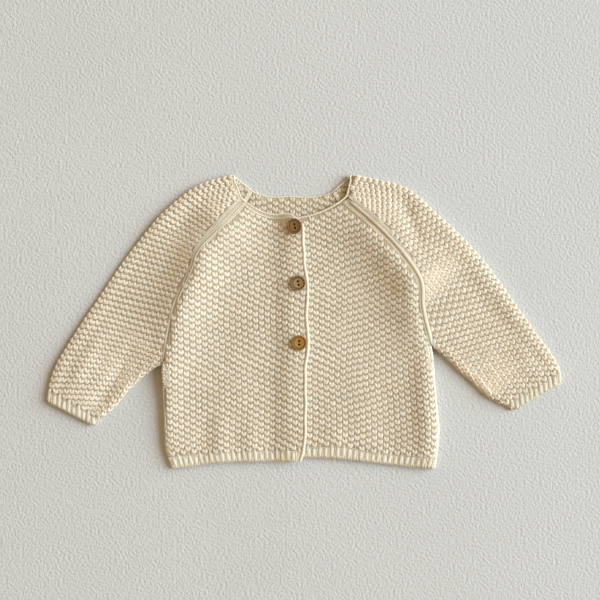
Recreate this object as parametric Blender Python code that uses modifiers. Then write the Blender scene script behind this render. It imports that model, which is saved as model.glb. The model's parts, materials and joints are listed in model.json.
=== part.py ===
"""A baby's button-front crew-neck cardigan in thick knit, lying flat on its back with its sleeves spread.

+X is the wearer's left, +Y runs from the hem to the neck and +Z is up off the surface it lies on.
Sizes and tables are in millimetres, and the finished mesh is in metres. Each piece of cloth is worked
out as the middle of its wall, section by section, and then given its thickness.
"""

import math
from collections import namedtuple

import bmesh
import bpy
import numpy as np
from mathutils import Vector

MM = 0.001

# ---- the cloth and how it lies ----------------------------------------------------------------------
WALL = 3.0                              # thickness of the knitted cloth
GAP = 0.3                               # between pieces that touch or are sewn together
BACK_Z = WALL / 2                       # middle of the cloth that lies on the surface
FRONT_Z = BACK_Z + WALL + GAP           # middle of the cloth that lies on the back
LAP_Z = FRONT_Z + WALL + 2 * GAP        # middle of the right front where it laps over the left
TURN = 3.5                              # width in which an edge turns down
TURN_STEPS = 3
FOLD_STEPS = 4                          # facets round the folded top edge of a sleeve
SWELL_REACH = 13.0                      # from a side or raglan edge to the crest of the swell beside it
RIDGE_REACH = 18.0                      # width in which the sleeve falls away from its raglan seam
HALVINGS = 2                            # stretches of mesh between two sections of a table
RIB_GAP = 0.6                           # between a hem rib and the panel that it is knitted to
CUFF_GAP = 1.2                          # between a cuff rib and its sleeve
TUCK = 5.5                              # how far the back's edge lies inside a turned-down front edge

# ---- the opening ------------------------------------------------------------------------------------
LAP_START = -42.0                       # x where the right front starts to climb over the left front
LAP_FULL = -24.0                        # x where it lies wholly on the left front
CORNER_RISE = 3.0                       # how far the right front's neck corner stands up
CORNER_REACH = (13.0, 24.0)             # how wide and how high that corner is
CORD_RADIUS = 1.5                       # rolled edging of the neck and fronts

# ---- the buttons ------------------------------------------------------------------------------------
BUTTON_RADIUS = 7.5
BUTTON_SIDES = 24
BUTTON_PROFILE = (                      # radius, height: from the dished middle over the rim to the base
    (0.0, 2.6), (3.2, 2.7), (5.0, 3.0), (5.5, 2.6), (6.1, 3.2), (6.8, 3.5),
    (7.3, 3.1), (7.5, 2.0), (7.2, 0.6), (6.2, 0.0), (0.0, 0.0),
)
HOLE_RADIUS = 0.95
HOLE_SPACING = 3.6
HOLE_SIDES = 12
THREAD_RADIUS = 1.2                     # sewn shank that carries the button
BUTTONHOLE = (12.0, 3.2)                # length and width of the slit in the right front

Button = namedtuple("Button", "x y tilt turn colour")
BUTTONS = (                             # tilt: right side up, turn: of the two holes, both in degrees
    Button(-10.0, 96.5, 20.0, 12.0, (0.20, 0.13, 0.07)),
    Button(-7.0, 39.0, 0.0, 14.0, (0.24, 0.16, 0.10)),
    Button(-6.0, -21.5, 0.0, 1.0, (0.40, 0.22, 0.08)),
)

# ---- the body: one row for each section across a front ----------------------------------------------
# edge: on the front opening. side: on the front's side or raglan seam. back: on the back's.
# swell: rise of the front beside the seam. foot: height at which its turned-down edge ends.
# tuck: how far the back's edge lies inside the outline.
Section = namedtuple("Section", "name edge_x edge_y side_x side_y back_x back_y swell foot tuck")
RIGHT = (
    Section("rib top", -4.5, -130.0, -142.0, -137.5, -142.0, -137.5, 1.0, 0.5, TUCK),
    Section("hip", -4.0, -116.0, -144.5, -122.0, -144.5, -122.0, 1.5, 0.5, TUCK),
    Section("waist", -3.5, -78.0, -145.5, -80.0, -145.5, -80.0, 1.8, 0.5, TUCK),
    Section("below arm", -3.3, -57.0, -145.7, -58.0, -145.7, -58.0, 2.2, 3.6, TUCK),
    Section("underarm", -3.0, -43.0, -145.5, -43.0, -145.5, -43.0, 2.6, 3.6, GAP / 2),
    Section("low raglan", -0.8, 6.0, -135.5, 11.5, -118.5, 11.5, 4.8, 3.6, GAP / 2),
    Section("mid raglan", -0.6, 38.0, -117.5, 52.5, -98.0, 52.5, 5.2, 3.6, GAP / 2),
    Section("bend", -2.5, 58.0, -109.5, 74.0, -86.5, 74.0, 4.2, 3.6, GAP / 2),
    Section("high raglan", -5.0, 80.0, -86.5, 99.5, -73.0, 99.5, 2.4, 3.6, GAP / 2),
    Section("neck", -6.5, 99.5, -65.5, 123.0, -53.5, 131.5, 1.0, 3.6, GAP / 2),
)
LEFT = (
    Section("rib top", -19.5, -129.0, 136.0, -138.5, 136.0, -138.5, 1.0, 0.5, TUCK),
    Section("hip", -19.5, -110.0, 138.5, -112.0, 138.5, -112.0, 1.5, 0.5, TUCK),
    Section("waist", -19.5, -64.0, 134.3, -64.0, 134.3, -64.0, 1.8, 0.5, TUCK),
    Section("below arm", -19.5, -40.0, 131.8, -39.0, 131.8, -39.0, 2.2, 3.6, TUCK),
    Section("underarm", -19.5, -26.0, 129.5, -24.0, 129.5, -24.0, 2.6, 3.6, GAP / 2),
    Section("low raglan", -19.5, 8.0, 120.0, 13.0, 105.7, 13.0, 4.4, 3.6, GAP / 2),
    Section("mid raglan", -19.5, 34.0, 117.0, 42.5, 86.6, 42.5, 5.2, 3.6, GAP / 2),
    Section("bend", -19.5, 58.0, 97.0, 73.0, 66.3, 73.0, 4.6, 3.6, GAP / 2),
    Section("high raglan", -19.5, 80.0, 70.5, 101.5, 47.0, 101.5, 2.4, 3.6, GAP / 2),
    Section("neck", -19.5, 102.0, 43.5, 125.0, 27.5, 130.5, 1.0, 3.6, GAP / 2),
)
HEM_SECTIONS = {                        # the hem's own section, which closes each table below the rib
    "right": Section("hem", -8.0, -142.0, -137.5, -150.0, -137.5, -150.0, 0.5, 0.5, TUCK),
    "left": Section("hem", -19.5, -138.5, 134.5, -150.0, 134.5, -150.0, 0.5, 0.5, TUCK),
}
NECKLINES = {                           # cut edge of each neckline: x, y
    "right": ((-65.5, 123.0), (-50.0, 113.0), (-31.5, 107.5), (-14.5, 106.5), (-6.5, 99.5)),
    "left": ((-19.5, 102.0), (3.0, 106.0), (20.0, 111.5), (33.5, 118.5), (43.5, 125.0)),
    "back": ((-53.5, 131.5), (-44.0, 127.5), (-15.5, 126.5), (15.5, 127.0), (27.5, 130.5)),
}
RIB_LINES = {                           # where each hem rib starts: x, y
    "right": ((-142.0, -137.5), (-117.5, -135.5), (-85.5, -133.5), (-4.5, -130.0)),
    "left": (
        (-19.5, -129.0), (1.0, -129.0), (45.0, -128.5), (61.0, -132.5), (88.5, -135.5), (136.0, -138.5),
    ),
    "back": (
        (-142.0, -137.5), (-85.0, -132.5), (-30.0, -129.5), (20.0, -127.5), (88.0, -135.0), (136.0, -138.5),
    ),
}
HEM_LINES = {                           # lower edge of each hem rib: x, y
    "right": ((-137.5, -150.0), (-116.5, -147.5), (-91.5, -144.0), (-64.5, -143.0), (-8.0, -142.0)),
    "left": (
        (-19.5, -138.5), (26.0, -139.0), (57.5, -142.0), (88.5, -146.0), (109.5, -148.0), (134.5, -150.0),
    ),
    "back": (
        (-137.5, -150.0), (-90.0, -142.5), (-30.0, -139.0), (20.0, -137.0), (88.0, -144.5), (134.5, -150.0),
    ),
}

# ---- the sleeves ------------------------------------------------------------------------------------
# Arm: one row for each section of the closed tube. Cap: one for each section above the underarm, where
# the sleeve's ends lie on the two raglan seams of the section with the same name.
# top: on the folded top edge. low: on the seamed lower edge. puff: air under the middle of the sleeve.
# trough: depth of the soft crease beside the lower edge. ridge: rise beside the raglan seam.
Arm = namedtuple("Arm", "name top_x top_y low_x low_y puff trough")
Cap = namedtuple("Cap", "name top_x top_y puff trough ridge")
RIGHT_CUFF = (
    Arm("cuff edge", -264.0, -81.0, -215.0, -106.5, 0.8, 0.6),
    Arm("cuff top", -262.5, -69.0, -208.5, -100.0, 1.2, 1.0),
)
RIGHT_ARM = (
    Arm("cuff top", -262.5, -69.0, -208.5, -100.0, 1.2, 1.0),
    Arm("wrist", -256.0, -47.5, -195.0, -89.0, 1.6, 1.4),
    Arm("forearm", -244.0, -26.0, -180.5, -72.5, 1.8, 1.2),
    Arm("elbow", -227.5, 0.0, -164.0, -56.5, 1.8, 0.8),
)
RIGHT_CAP = (
    Cap("underarm", -210.5, 25.0, 1.8, 0.3, 1.0),
    Cap("low raglan", -186.0, 62.0, 1.6, 0.0, 1.0),
    Cap("mid raglan", -160.0, 95.0, 1.4, 0.0, 1.4),
    Cap("bend", -143.5, 113.0, 1.2, 0.0, 2.0),
    Cap("high raglan", -112.0, 138.0, 1.0, 0.0, 2.4),
    Cap("neck", -75.5, 150.0, 0.6, 0.0, 1.2),
)
LEFT_CUFF = (
    Arm("cuff edge", 262.5, -62.0, 213.0, -91.0, 0.8, 0.0),
    Arm("cuff top", 261.0, -50.0, 202.5, -86.5, 1.2, 0.0),
)
LEFT_ARM = (
    Arm("cuff top", 261.0, -50.0, 202.5, -86.5, 1.2, 0.0),
    Arm("wrist", 252.0, -34.0, 186.0, -77.5, 1.6, 0.2),
    Arm("forearm", 235.5, -11.5, 173.0, -65.0, 1.8, 0.2),
    Arm("elbow", 215.0, 17.0, 153.0, -47.5, 1.8, 0.2),
)
LEFT_CAP = (
    Cap("underarm", 194.0, 46.0, 1.8, 0.2, 1.0),
    Cap("low raglan", 178.0, 66.5, 1.6, 0.0, 1.0),
    Cap("mid raglan", 157.0, 89.0, 1.4, 0.0, 1.8),
    Cap("bend", 133.0, 111.0, 1.2, 0.0, 2.6),
    Cap("high raglan", 102.0, 136.5, 1.0, 0.0, 2.8),
    Cap("neck", 49.0, 150.0, 0.6, 0.0, 1.2),
)
TROUGH_PLACE = 15.0                     # from the lower edge to the bottom of the soft crease
TROUGH_WIDTH = 7.0

CREAM = (0.66, 0.57, 0.43)
CREAM_RIB = (0.70, 0.61, 0.47)
CREAM_EDGING = (0.76, 0.68, 0.54)
THREAD_COLOUR = (0.30, 0.20, 0.12)


# ---- lines and sections -----------------------------------------------------------------------------
def smooth_step(share):
    share = min(max(share, 0.0), 1.0)
    return share * share * (3.0 - 2.0 * share)


def line_through(places, values):
    """Smooth line that has the given values at the given rising places."""
    places = np.array(places, float)
    values = np.array(values, float)
    slopes = np.gradient(values, places, axis=0)

    def at(place):
        k = int(np.clip(np.searchsorted(places, place) - 1, 0, len(places) - 2))
        span = places[k + 1] - places[k]
        t = (place - places[k]) / span
        start = values[k] * (2 * t**3 - 3 * t**2 + 1) + slopes[k] * span * (t**3 - 2 * t**2 + t)
        end = values[k + 1] * (3 * t**2 - 2 * t**3) + slopes[k + 1] * span * (t**3 - t**2)
        return start + end

    return at


def bow_of(points):
    """How far an outline of x, y points with x rising lies above the straight line between its ends."""
    line = line_through([x for x, _ in points], [y for _, y in points])
    (first_x, first_y), (last_x, last_y) = points[0], points[-1]

    def at(share):
        return line(first_x + share * (last_x - first_x)) - (first_y + share * (last_y - first_y))

    return at


def bend(row, bow, amount, shift=0.0):
    """Bends a straight row of points by a share of an outline's bow, and shifts it along the garment."""
    low_x = min(row[0][0], row[-1][0])
    high_x = max(row[0][0], row[-1][0])
    return [(x, y + amount * bow((x - low_x) / (high_x - low_x)) + shift, z) for x, y, z in row]


def column(table, name):
    return [getattr(row, name) for row in table]


def point_line(table, name):
    """Smooth line through a table's x, y columns, by the number of its row."""
    points = list(zip(column(table, name + "_x"), column(table, name + "_y")))
    return line_through(range(len(table)), points)


def size_at(table, name, place):
    """Value of a plain column between two rows of a table."""
    return float(np.interp(place, range(len(table)), column(table, name)))


def places_of(table):
    """Row numbers of a table, with the halvings between them."""
    count = (len(table) - 1) * HALVINGS
    return [k / HALVINGS for k in range(count + 1)]


# ---- heights ----------------------------------------------------------------------------------------
def swell_height(amount, distance):
    """Rise of a front beside its seam: steep up to the crest, then slowly down towards the middle."""
    share = distance / SWELL_REACH
    return amount * share * math.exp(1.0 - share)


def right_front_height(x, y):
    """The right front climbs over the left one, and its neck corner stands up a little."""
    lap = (LAP_Z - FRONT_Z) * smooth_step((x - LAP_START) / (LAP_FULL - LAP_START))
    corner_x, corner_y = NECKLINES["right"][-1]
    wide, high = CORNER_REACH
    corner = math.exp(-(((x - corner_x) / wide) ** 2) - ((y - corner_y) / high) ** 2)
    return FRONT_Z + lap + CORNER_RISE * corner


def left_front_height(x, y):
    return FRONT_Z


# ---- fronts -----------------------------------------------------------------------------------------
OPENING_COLUMNS = {                         # columns beside the opening, as distances from it
    "right": (0.0, 7.0, 14.0, 20.0, 29.0, 38.0),
    "left": (0.0, 12.0, 30.0),
}
MIDDLE_SHARES = (0.33, 0.66)                # columns from there to the swell, as shares of the way
SWELL_COLUMNS = (30.0, 20.0, 12.0, 7.0)     # columns beside the seam, as distances from it
FULL_ROW = 120.0                            # sections shorter than this have their columns closer
NECK_REACH = 2.0                            # rows over which the sections take up the neckline's bow
RIB_REACH = 3.0                             # and the rib's


def front_row(edge, side, along, swell, foot, opening, height):
    """Middle of a front's cloth on one section, from the opening to its turned-down edge at the seam."""
    edge = Vector(edge)
    side = Vector(side)
    across = side - edge
    length = across.length
    slant = abs(across.normalized().cross(Vector(along).normalized()))
    inset = WALL / 2 + GAP

    def place(distance):
        return side - across.normalized() * (inset + distance) / slant

    def level(point, distance):
        return height(point.x, point.y) + swell_height(swell, distance)

    closer = min(1.0, length / FULL_ROW)
    points = [edge + across.normalized() * distance * closer for distance in opening]
    last = points[-1]
    points += [last.lerp(place(SWELL_COLUMNS[0] * closer), share) for share in MIDDLE_SHARES]
    points += [place(distance * closer) for distance in SWELL_COLUMNS]
    row = [(point, level(point, (side - point).length * slant - inset)) for point in points]
    top = level(place(TURN), TURN)
    turn = min(TURN, 1.2 * (top - foot))
    for k in range(TURN_STEPS, -1, -1):
        angle = k / TURN_STEPS * math.pi / 2
        row.append((place(turn * (1.0 - math.cos(angle))), foot + (top - foot) * math.sin(angle)))
    return [(point.x, point.y, z) for point, z in row]


def bend_to_ends(row, piece, place):
    """Bends a section of the body to the neckline and to the rib, the more the nearer it is to them."""
    from_neck = len(RIGHT) - 1 - place
    neck_share = max(0.0, 1.0 - from_neck / NECK_REACH) ** 2
    rib_share = max(0.0, 1.0 - place / RIB_REACH) ** 2
    shift = RIB_GAP / 2 if place == 0 else 0.0
    row = bend(row, bow_of(NECKLINES[piece]), neck_share)
    return bend(row, bow_of(RIB_LINES[piece]), rib_share, shift)


def front_rows(side, table, height):
    edge = point_line(table, "edge")
    seam = point_line(table, "side")
    opening = OPENING_COLUMNS[side]
    rows = []
    for place in places_of(table):
        along = seam(place + 0.1) - seam(place - 0.1)
        swell = size_at(table, "swell", place)
        foot = size_at(table, "foot", place)
        row = front_row(edge(place), seam(place), along, swell, foot, opening, height)
        rows.append(bend_to_ends(row, side, place))
    return rows


def front_rib_rows(side, table, height):
    hem = HEM_SECTIONS[side]
    rib = table[0]
    along = (rib.side_x - hem.side_x, rib.side_y - hem.side_y)
    rows = []
    for share in (0.0, 0.5, 1.0):
        edge_x = hem.edge_x + share * (rib.edge_x - hem.edge_x)
        edge = (edge_x, hem.edge_y + share * (rib.edge_y - hem.edge_y))
        end = (hem.side_x + share * along[0], hem.side_y + share * along[1])
        swell = hem.swell + share * (rib.swell - hem.swell)
        row = front_row(edge, end, along, swell, hem.foot, OPENING_COLUMNS[side], height)
        row = bend(row, bow_of(HEM_LINES[side]), 1.0 - share)
        rows.append(bend(row, bow_of(RIB_LINES[side]), share, -share * RIB_GAP / 2))
    return rows


# ---- back -------------------------------------------------------------------------------------------
BACK_COLUMNS = 10


def back_row(right_end, left_end, right_tuck, left_tuck):
    start = Vector((right_end[0] + right_tuck, right_end[1]))
    end = Vector((left_end[0] - left_tuck, left_end[1]))
    points = [start.lerp(end, k / BACK_COLUMNS) for k in range(BACK_COLUMNS + 1)]
    return [(point.x, point.y, BACK_Z) for point in points]


def back_rows():
    right = point_line(RIGHT, "back")
    left = point_line(LEFT, "back")
    rows = []
    for place in places_of(RIGHT):
        tucks = size_at(RIGHT, "tuck", place), size_at(LEFT, "tuck", place)
        row = back_row(right(place), left(place), *tucks)
        rows.append(bend_to_ends(row, "back", place))
    return rows


def back_rib_rows():
    rows = []
    for points, shift in ((HEM_LINES["back"], 0.0), (RIB_LINES["back"], -RIB_GAP / 2)):
        row = back_row(points[0], points[-1], TUCK, TUCK)
        rows.append(bend(row, bow_of(points), 1.0, shift))
    return rows


# ---- sleeves ----------------------------------------------------------------------------------------
WIDTH_SHARES = (0.14, 0.25, 0.38, 0.55, 0.78)       # columns of the upper layer, as shares of its width
NARROW_TURN = 0.1                                   # the most of its width that a section turns in
UNDER_COLUMNS = 3


def sleeve_row(top, front, back, puff, trough, ridge, closed):
    """Middle of a sleeve's cloth on one section: from its front end over the top fold to its back end.

    closed is 1 where the lower edge is folded down to the surface, and 0 on the raglan seams."""
    top, front, back = Vector(top), Vector(front), Vector(back)
    up = (top - front).normalized()
    width = (top - front).length
    down = (back - top).normalized()
    outward = (up - down).normalized()

    def level(distance):
        share = min(max(distance / width, 0.0), 1.0)
        crease = trough * math.exp(-(((distance - TROUGH_PLACE) / TROUGH_WIDTH) ** 2))
        air = puff * math.sqrt(math.sin(math.pi * share)) - crease
        return FRONT_Z + max(air, 0.0) + ridge * math.exp(-distance / RIDGE_REACH)

    start = closed * WALL / 2 + (1.0 - closed) * GAP
    foot = closed * 0.5 + (1.0 - closed) * level(start)
    turn = min(TURN, NARROW_TURN * width)
    row = []
    for k in range(TURN_STEPS + 1):
        angle = k / TURN_STEPS * math.pi / 2
        distance = start + turn * (1.0 - math.cos(angle))
        row.append((front + up * distance, foot + (level(start + turn) - foot) * math.sin(angle)))
    for share in WIDTH_SHARES:
        row.append((front + up * share * width, level(share * width)))
    crest = level(width - WALL)
    radius = (crest - BACK_Z) / 2
    centre = top - outward * (radius + WALL / 2)
    for k in range(FOLD_STEPS + 1):
        angle = math.pi / 2 - k / FOLD_STEPS * math.pi
        row.append((centre + outward * radius * math.cos(angle), BACK_Z + radius + radius * math.sin(angle)))
    tuck = closed * (WALL + 0.6) + (1.0 - closed) * GAP / 2
    end = back - down * tuck
    for k in range(1, UNDER_COLUMNS + 1):
        row.append((centre.lerp(end, k / UNDER_COLUMNS), BACK_Z))
    return [(point.x, point.y, z) for point, z in row]


def sleeve_rows(arm, cap, body):
    """Sections of a sleeve from the cuff rib to the neck."""
    first = column(body, "name").index(cap[0].name)
    both = arm + cap
    numbers = range(len(both))
    top = point_line(both, "top")
    underarm = (body[first].side_x, body[first].side_y)
    low = line_through(range(len(arm) + 1), [(row.low_x, row.low_y) for row in arm] + [underarm])
    seam_front = point_line(body, "side")
    seam_back = point_line(body, "back")
    ridges = [0.0] * len(arm) + column(cap, "ridge")
    rows = []
    for place in places_of(both):
        ends = (low(place), low(place))
        if place >= len(arm):
            seam_place = place - len(arm) + first
            ends = (seam_front(seam_place), seam_back(seam_place))
        closed = min(max(len(arm) - place, 0.0) * 2.0, 1.0)
        puff = size_at(both, "puff", place)
        trough = size_at(both, "trough", place)
        ridge = float(np.interp(place, numbers, ridges))
        rows.append(sleeve_row(top(place), *ends, puff, trough, ridge, closed))
    return rows


def cuff_rows(cuff):
    edge, joint = cuff
    height = math.dist(edge[1:3], joint[1:3])
    rows = []
    for share in (0.0, 0.5, 1.0 - CUFF_GAP / height):
        mix = [a + (b - a) * share for a, b in zip(edge[1:], joint[1:])]
        top_x, top_y, low_x, low_y, puff, trough = mix
        rows.append(sleeve_row((top_x, top_y), (low_x, low_y), (low_x, low_y), puff, trough, 0.0, 1.0))
    return rows


# ---- edgings ----------------------------------------------------------------------------------------
def beyond(rim, inner):
    """Path of a cord that runs just outside a rim: each point moves out in line with the cloth."""
    rim = [Vector(point) for point in rim]
    inner = [Vector(point) for point in inner]
    path = []
    for k, point in enumerate(rim):
        along = (rim[min(k + 1, len(rim) - 1)] - rim[max(k - 1, 0)]).normalized()
        out = point - inner[k]
        out = (out - along * out.dot(along)).normalized()
        path.append(point + out * (CORD_RADIUS + GAP))
    return path


def front_cord(ribs, front):
    """Path down the front opening, from the neck corner to the hem."""
    rows = ribs[:-1] + front
    path = beyond([row[0] for row in rows], [row[1] for row in rows])
    path[-1] = path[-1] + (path[-2] - path[-1]).normalized() * 1.2
    return path


def neck_cord(right_front, right_sleeve, back, left_sleeve, left_front):
    """Path round the neck: right front, over the right shoulder, back, over the left shoulder, left front."""
    panel = slice(0, -TURN_STEPS - 2)
    sleeve = slice(TURN_STEPS, -1)
    path = beyond(right_front[-1][panel], right_front[-2][panel])
    path += beyond(right_sleeve[-1][sleeve], right_sleeve[-2][sleeve])
    path += beyond(back[-1], back[-2])
    path += beyond(left_sleeve[-1][sleeve], left_sleeve[-2][sleeve])[::-1]
    path += beyond(left_front[-1][panel], left_front[-2][panel])[::-1]
    return path


# ---- making objects ---------------------------------------------------------------------------------
def empty_scene():
    for item in list(bpy.data.objects):
        bpy.data.objects.remove(item)


def new_collection(name):
    collection = bpy.data.collections.new(name)
    bpy.context.scene.collection.children.link(collection)
    return collection


def finish(item, colour, roughness):
    material = bpy.data.materials.new(item.name)
    material.use_nodes = True
    shader = material.node_tree.nodes["Principled BSDF"]
    shader.inputs["Base Color"].default_value = (*colour, 1.0)
    shader.inputs["Roughness"].default_value = roughness
    shader.inputs["Metallic"].default_value = 0.0
    item.data.materials.append(material)


def new_object(name, data, collection):
    item = bpy.data.objects.new(name, data)
    collection.objects.link(item)
    return item


def cloth(name, rows, colour, collection):
    """A wall of cloth whose middle passes through the rows."""
    across = len(rows[0])
    mesh = bpy.data.meshes.new(name)
    shape = bmesh.new()
    bmesh.ops.create_grid(shape, x_segments=across - 1, y_segments=len(rows) - 1, size=1.0)
    shape.verts.ensure_lookup_table()
    for number, vertex in enumerate(shape.verts):
        vertex.co = Vector(rows[number // across][number % across]) * MM
    shape.to_mesh(mesh)
    shape.free()
    mesh.shade_smooth()
    item = new_object(name, mesh, collection)
    wall = item.modifiers.new("wall", "SOLIDIFY")
    wall.thickness = WALL * MM
    wall.offset = 0.0
    wall.use_even_offset = True
    finish(item, colour, 0.9)
    return item


def cord(name, path, collection):
    curve = bpy.data.curves.new(name, "CURVE")
    curve.dimensions = "3D"
    curve.bevel_depth = CORD_RADIUS * MM
    curve.bevel_resolution = 2
    curve.use_fill_caps = True
    spline = curve.splines.new("POLY")
    spline.points.add(len(path) - 1)
    for target, point in zip(spline.points, path):
        target.co = (*(point * MM), 1.0)
    item = new_object(name, curve, collection)
    finish(item, CREAM_EDGING, 0.9)
    return item


def cylinder(name, radius, height, sides, places, collection):
    """Upright cylinders of one size in one mesh, each centred on one of the places."""
    mesh = bpy.data.meshes.new(name)
    shape = bmesh.new()
    for place in places:
        made = bmesh.ops.create_cone(
            shape, cap_ends=True, segments=sides, radius1=radius * MM, radius2=radius * MM, depth=height * MM
        )
        bmesh.ops.translate(shape, verts=made["verts"], vec=Vector(place) * MM)
    shape.to_mesh(mesh)
    shape.free()
    return new_object(name, mesh, collection)


def cut(item, cutter):
    cutter.hide_render = True
    cutter.display_type = "WIRE"
    boolean = item.modifiers.new("cut " + cutter.name, "BOOLEAN")
    boolean.operation = "DIFFERENCE"
    boolean.solver = "EXACT"
    boolean.object = cutter


def button(number, row, parts, cutters):
    """A turned wooden button on its seat, its two holes and the thread that carries it."""
    profile = bpy.data.meshes.new(f"button_{number}")
    corners = [(radius * MM, 0.0, height * MM) for radius, height in BUTTON_PROFILE]
    profile.from_pydata(corners, [(k, k + 1) for k in range(len(corners) - 1)], [])
    item = new_object(f"button_{number}", profile, parts)
    screw = item.modifiers.new("turned", "SCREW")
    screw.steps = BUTTON_SIDES
    screw.render_steps = BUTTON_SIDES
    screw.use_merge_vertices = True
    screw.merge_threshold = 0.00001
    screw.use_smooth_shade = True

    tilt = math.radians(row.tilt)
    seat = right_front_height(row.x, row.y) + WALL / 2 + GAP
    base = seat + 0.48 * BUTTON_RADIUS * math.sin(tilt)
    item.location = Vector((row.x, row.y, base)) * MM
    item.rotation_euler = (0.0, -tilt, math.radians(row.turn))
    finish(item, row.colour, 0.55)

    half = HOLE_SPACING / 2
    depth = 4 * WALL
    ends = ((0, -half, 0), (0, half, 0))
    holes = cylinder(f"holes_{number}", HOLE_RADIUS, depth, HOLE_SIDES, ends, cutters)
    holes.location = item.location
    holes.rotation_euler = item.rotation_euler
    cut(item, holes)

    foot = FRONT_Z + WALL / 2 + 2 * GAP
    reach = base - GAP - THREAD_RADIUS * math.sin(tilt) - foot
    place = ((row.x, row.y, foot + reach / 2),)
    thread = cylinder(f"button_thread_{number}", THREAD_RADIUS, reach, HOLE_SIDES, place, parts)
    finish(thread, THREAD_COLOUR, 0.9)


def buttonhole(number, row, panel, cutters):
    """Slit in the right front, from just outside the button's thread towards the sleeve."""
    length, width = BUTTONHOLE
    mesh = bpy.data.meshes.new(f"buttonhole_{number}")
    shape = bmesh.new()
    bmesh.ops.create_cube(shape, size=1.0)
    size = Vector((length, width, 4 * WALL)) * MM
    bmesh.ops.scale(shape, verts=shape.verts, vec=size)
    shape.to_mesh(mesh)
    shape.free()
    slit = new_object(f"buttonhole_{number}", mesh, cutters)
    middle = row.x + width / 2 - length / 2
    slit.location = Vector((middle, row.y, right_front_height(row.x, row.y))) * MM
    cut(panel, slit)


def centre_over_origin(parts):
    """Moves the whole garment sideways, so that the middle of its box is over the origin."""
    bpy.context.view_layer.update()
    graph = bpy.context.evaluated_depsgraph_get()
    points = []
    for item in parts.objects:
        ready = item.evaluated_get(graph)
        points += [item.matrix_world @ vertex.co for vertex in ready.to_mesh().vertices]
        ready.to_mesh_clear()
    low = [min(point[axis] for point in points) for axis in (0, 1)]
    high = [max(point[axis] for point in points) for axis in (0, 1)]
    holder = bpy.data.objects.new("baby_cardigan", None)
    parts.objects.link(holder)
    holder.location = (-(low[0] + high[0]) / 2, -(low[1] + high[1]) / 2, 0.0)
    return holder


def main():
    empty_scene()
    parts = new_collection("baby_cardigan")
    cutters = new_collection("cutters")

    right_front = front_rows("right", RIGHT, right_front_height)
    left_front = front_rows("left", LEFT, left_front_height)
    right_rib = front_rib_rows("right", RIGHT, right_front_height)
    left_rib = front_rib_rows("left", LEFT, left_front_height)
    back = back_rows()
    right_sleeve = sleeve_rows(RIGHT_ARM, RIGHT_CAP, RIGHT)
    left_sleeve = sleeve_rows(LEFT_ARM, LEFT_CAP, LEFT)

    upper_front = cloth("front_right", right_front, CREAM, parts)
    cloth("front_left", left_front, CREAM, parts)
    cloth("back", back, CREAM, parts)
    cloth("sleeve_right", right_sleeve, CREAM, parts)
    cloth("sleeve_left", left_sleeve, CREAM, parts)
    cloth("hem_rib_front_right", right_rib, CREAM_RIB, parts)
    cloth("hem_rib_front_left", left_rib, CREAM_RIB, parts)
    cloth("hem_rib_back", back_rib_rows(), CREAM_RIB, parts)
    cloth("cuff_right", cuff_rows(RIGHT_CUFF), CREAM_RIB, parts)
    cloth("cuff_left", cuff_rows(LEFT_CUFF), CREAM_RIB, parts)

    cord("neck_edging", neck_cord(right_front, right_sleeve, back, left_sleeve, left_front), parts)
    cord("front_edging_right", front_cord(right_rib, right_front), parts)
    cord("front_edging_left", front_cord(left_rib, left_front), parts)

    for number, row in enumerate(BUTTONS, 1):
        button(number, row, parts, cutters)
        buttonhole(number, row, upper_front, cutters)

    holder = centre_over_origin(parts)
    for item in list(parts.objects) + list(cutters.objects):
        if item is not holder:
            item.parent = holder


main()
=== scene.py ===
"""Looks of a baby's button-front crew-neck cardigan in thick cream knit, laid flat with its sleeves spread.

Each piece of cloth is a thin wall on the sections of its solid, and its stitches are bent lengths of yarn
set on it column by column. Sizes and tables are in millimetres, and meshes are in metres.
"""

import json
import math
from collections import namedtuple

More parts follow.
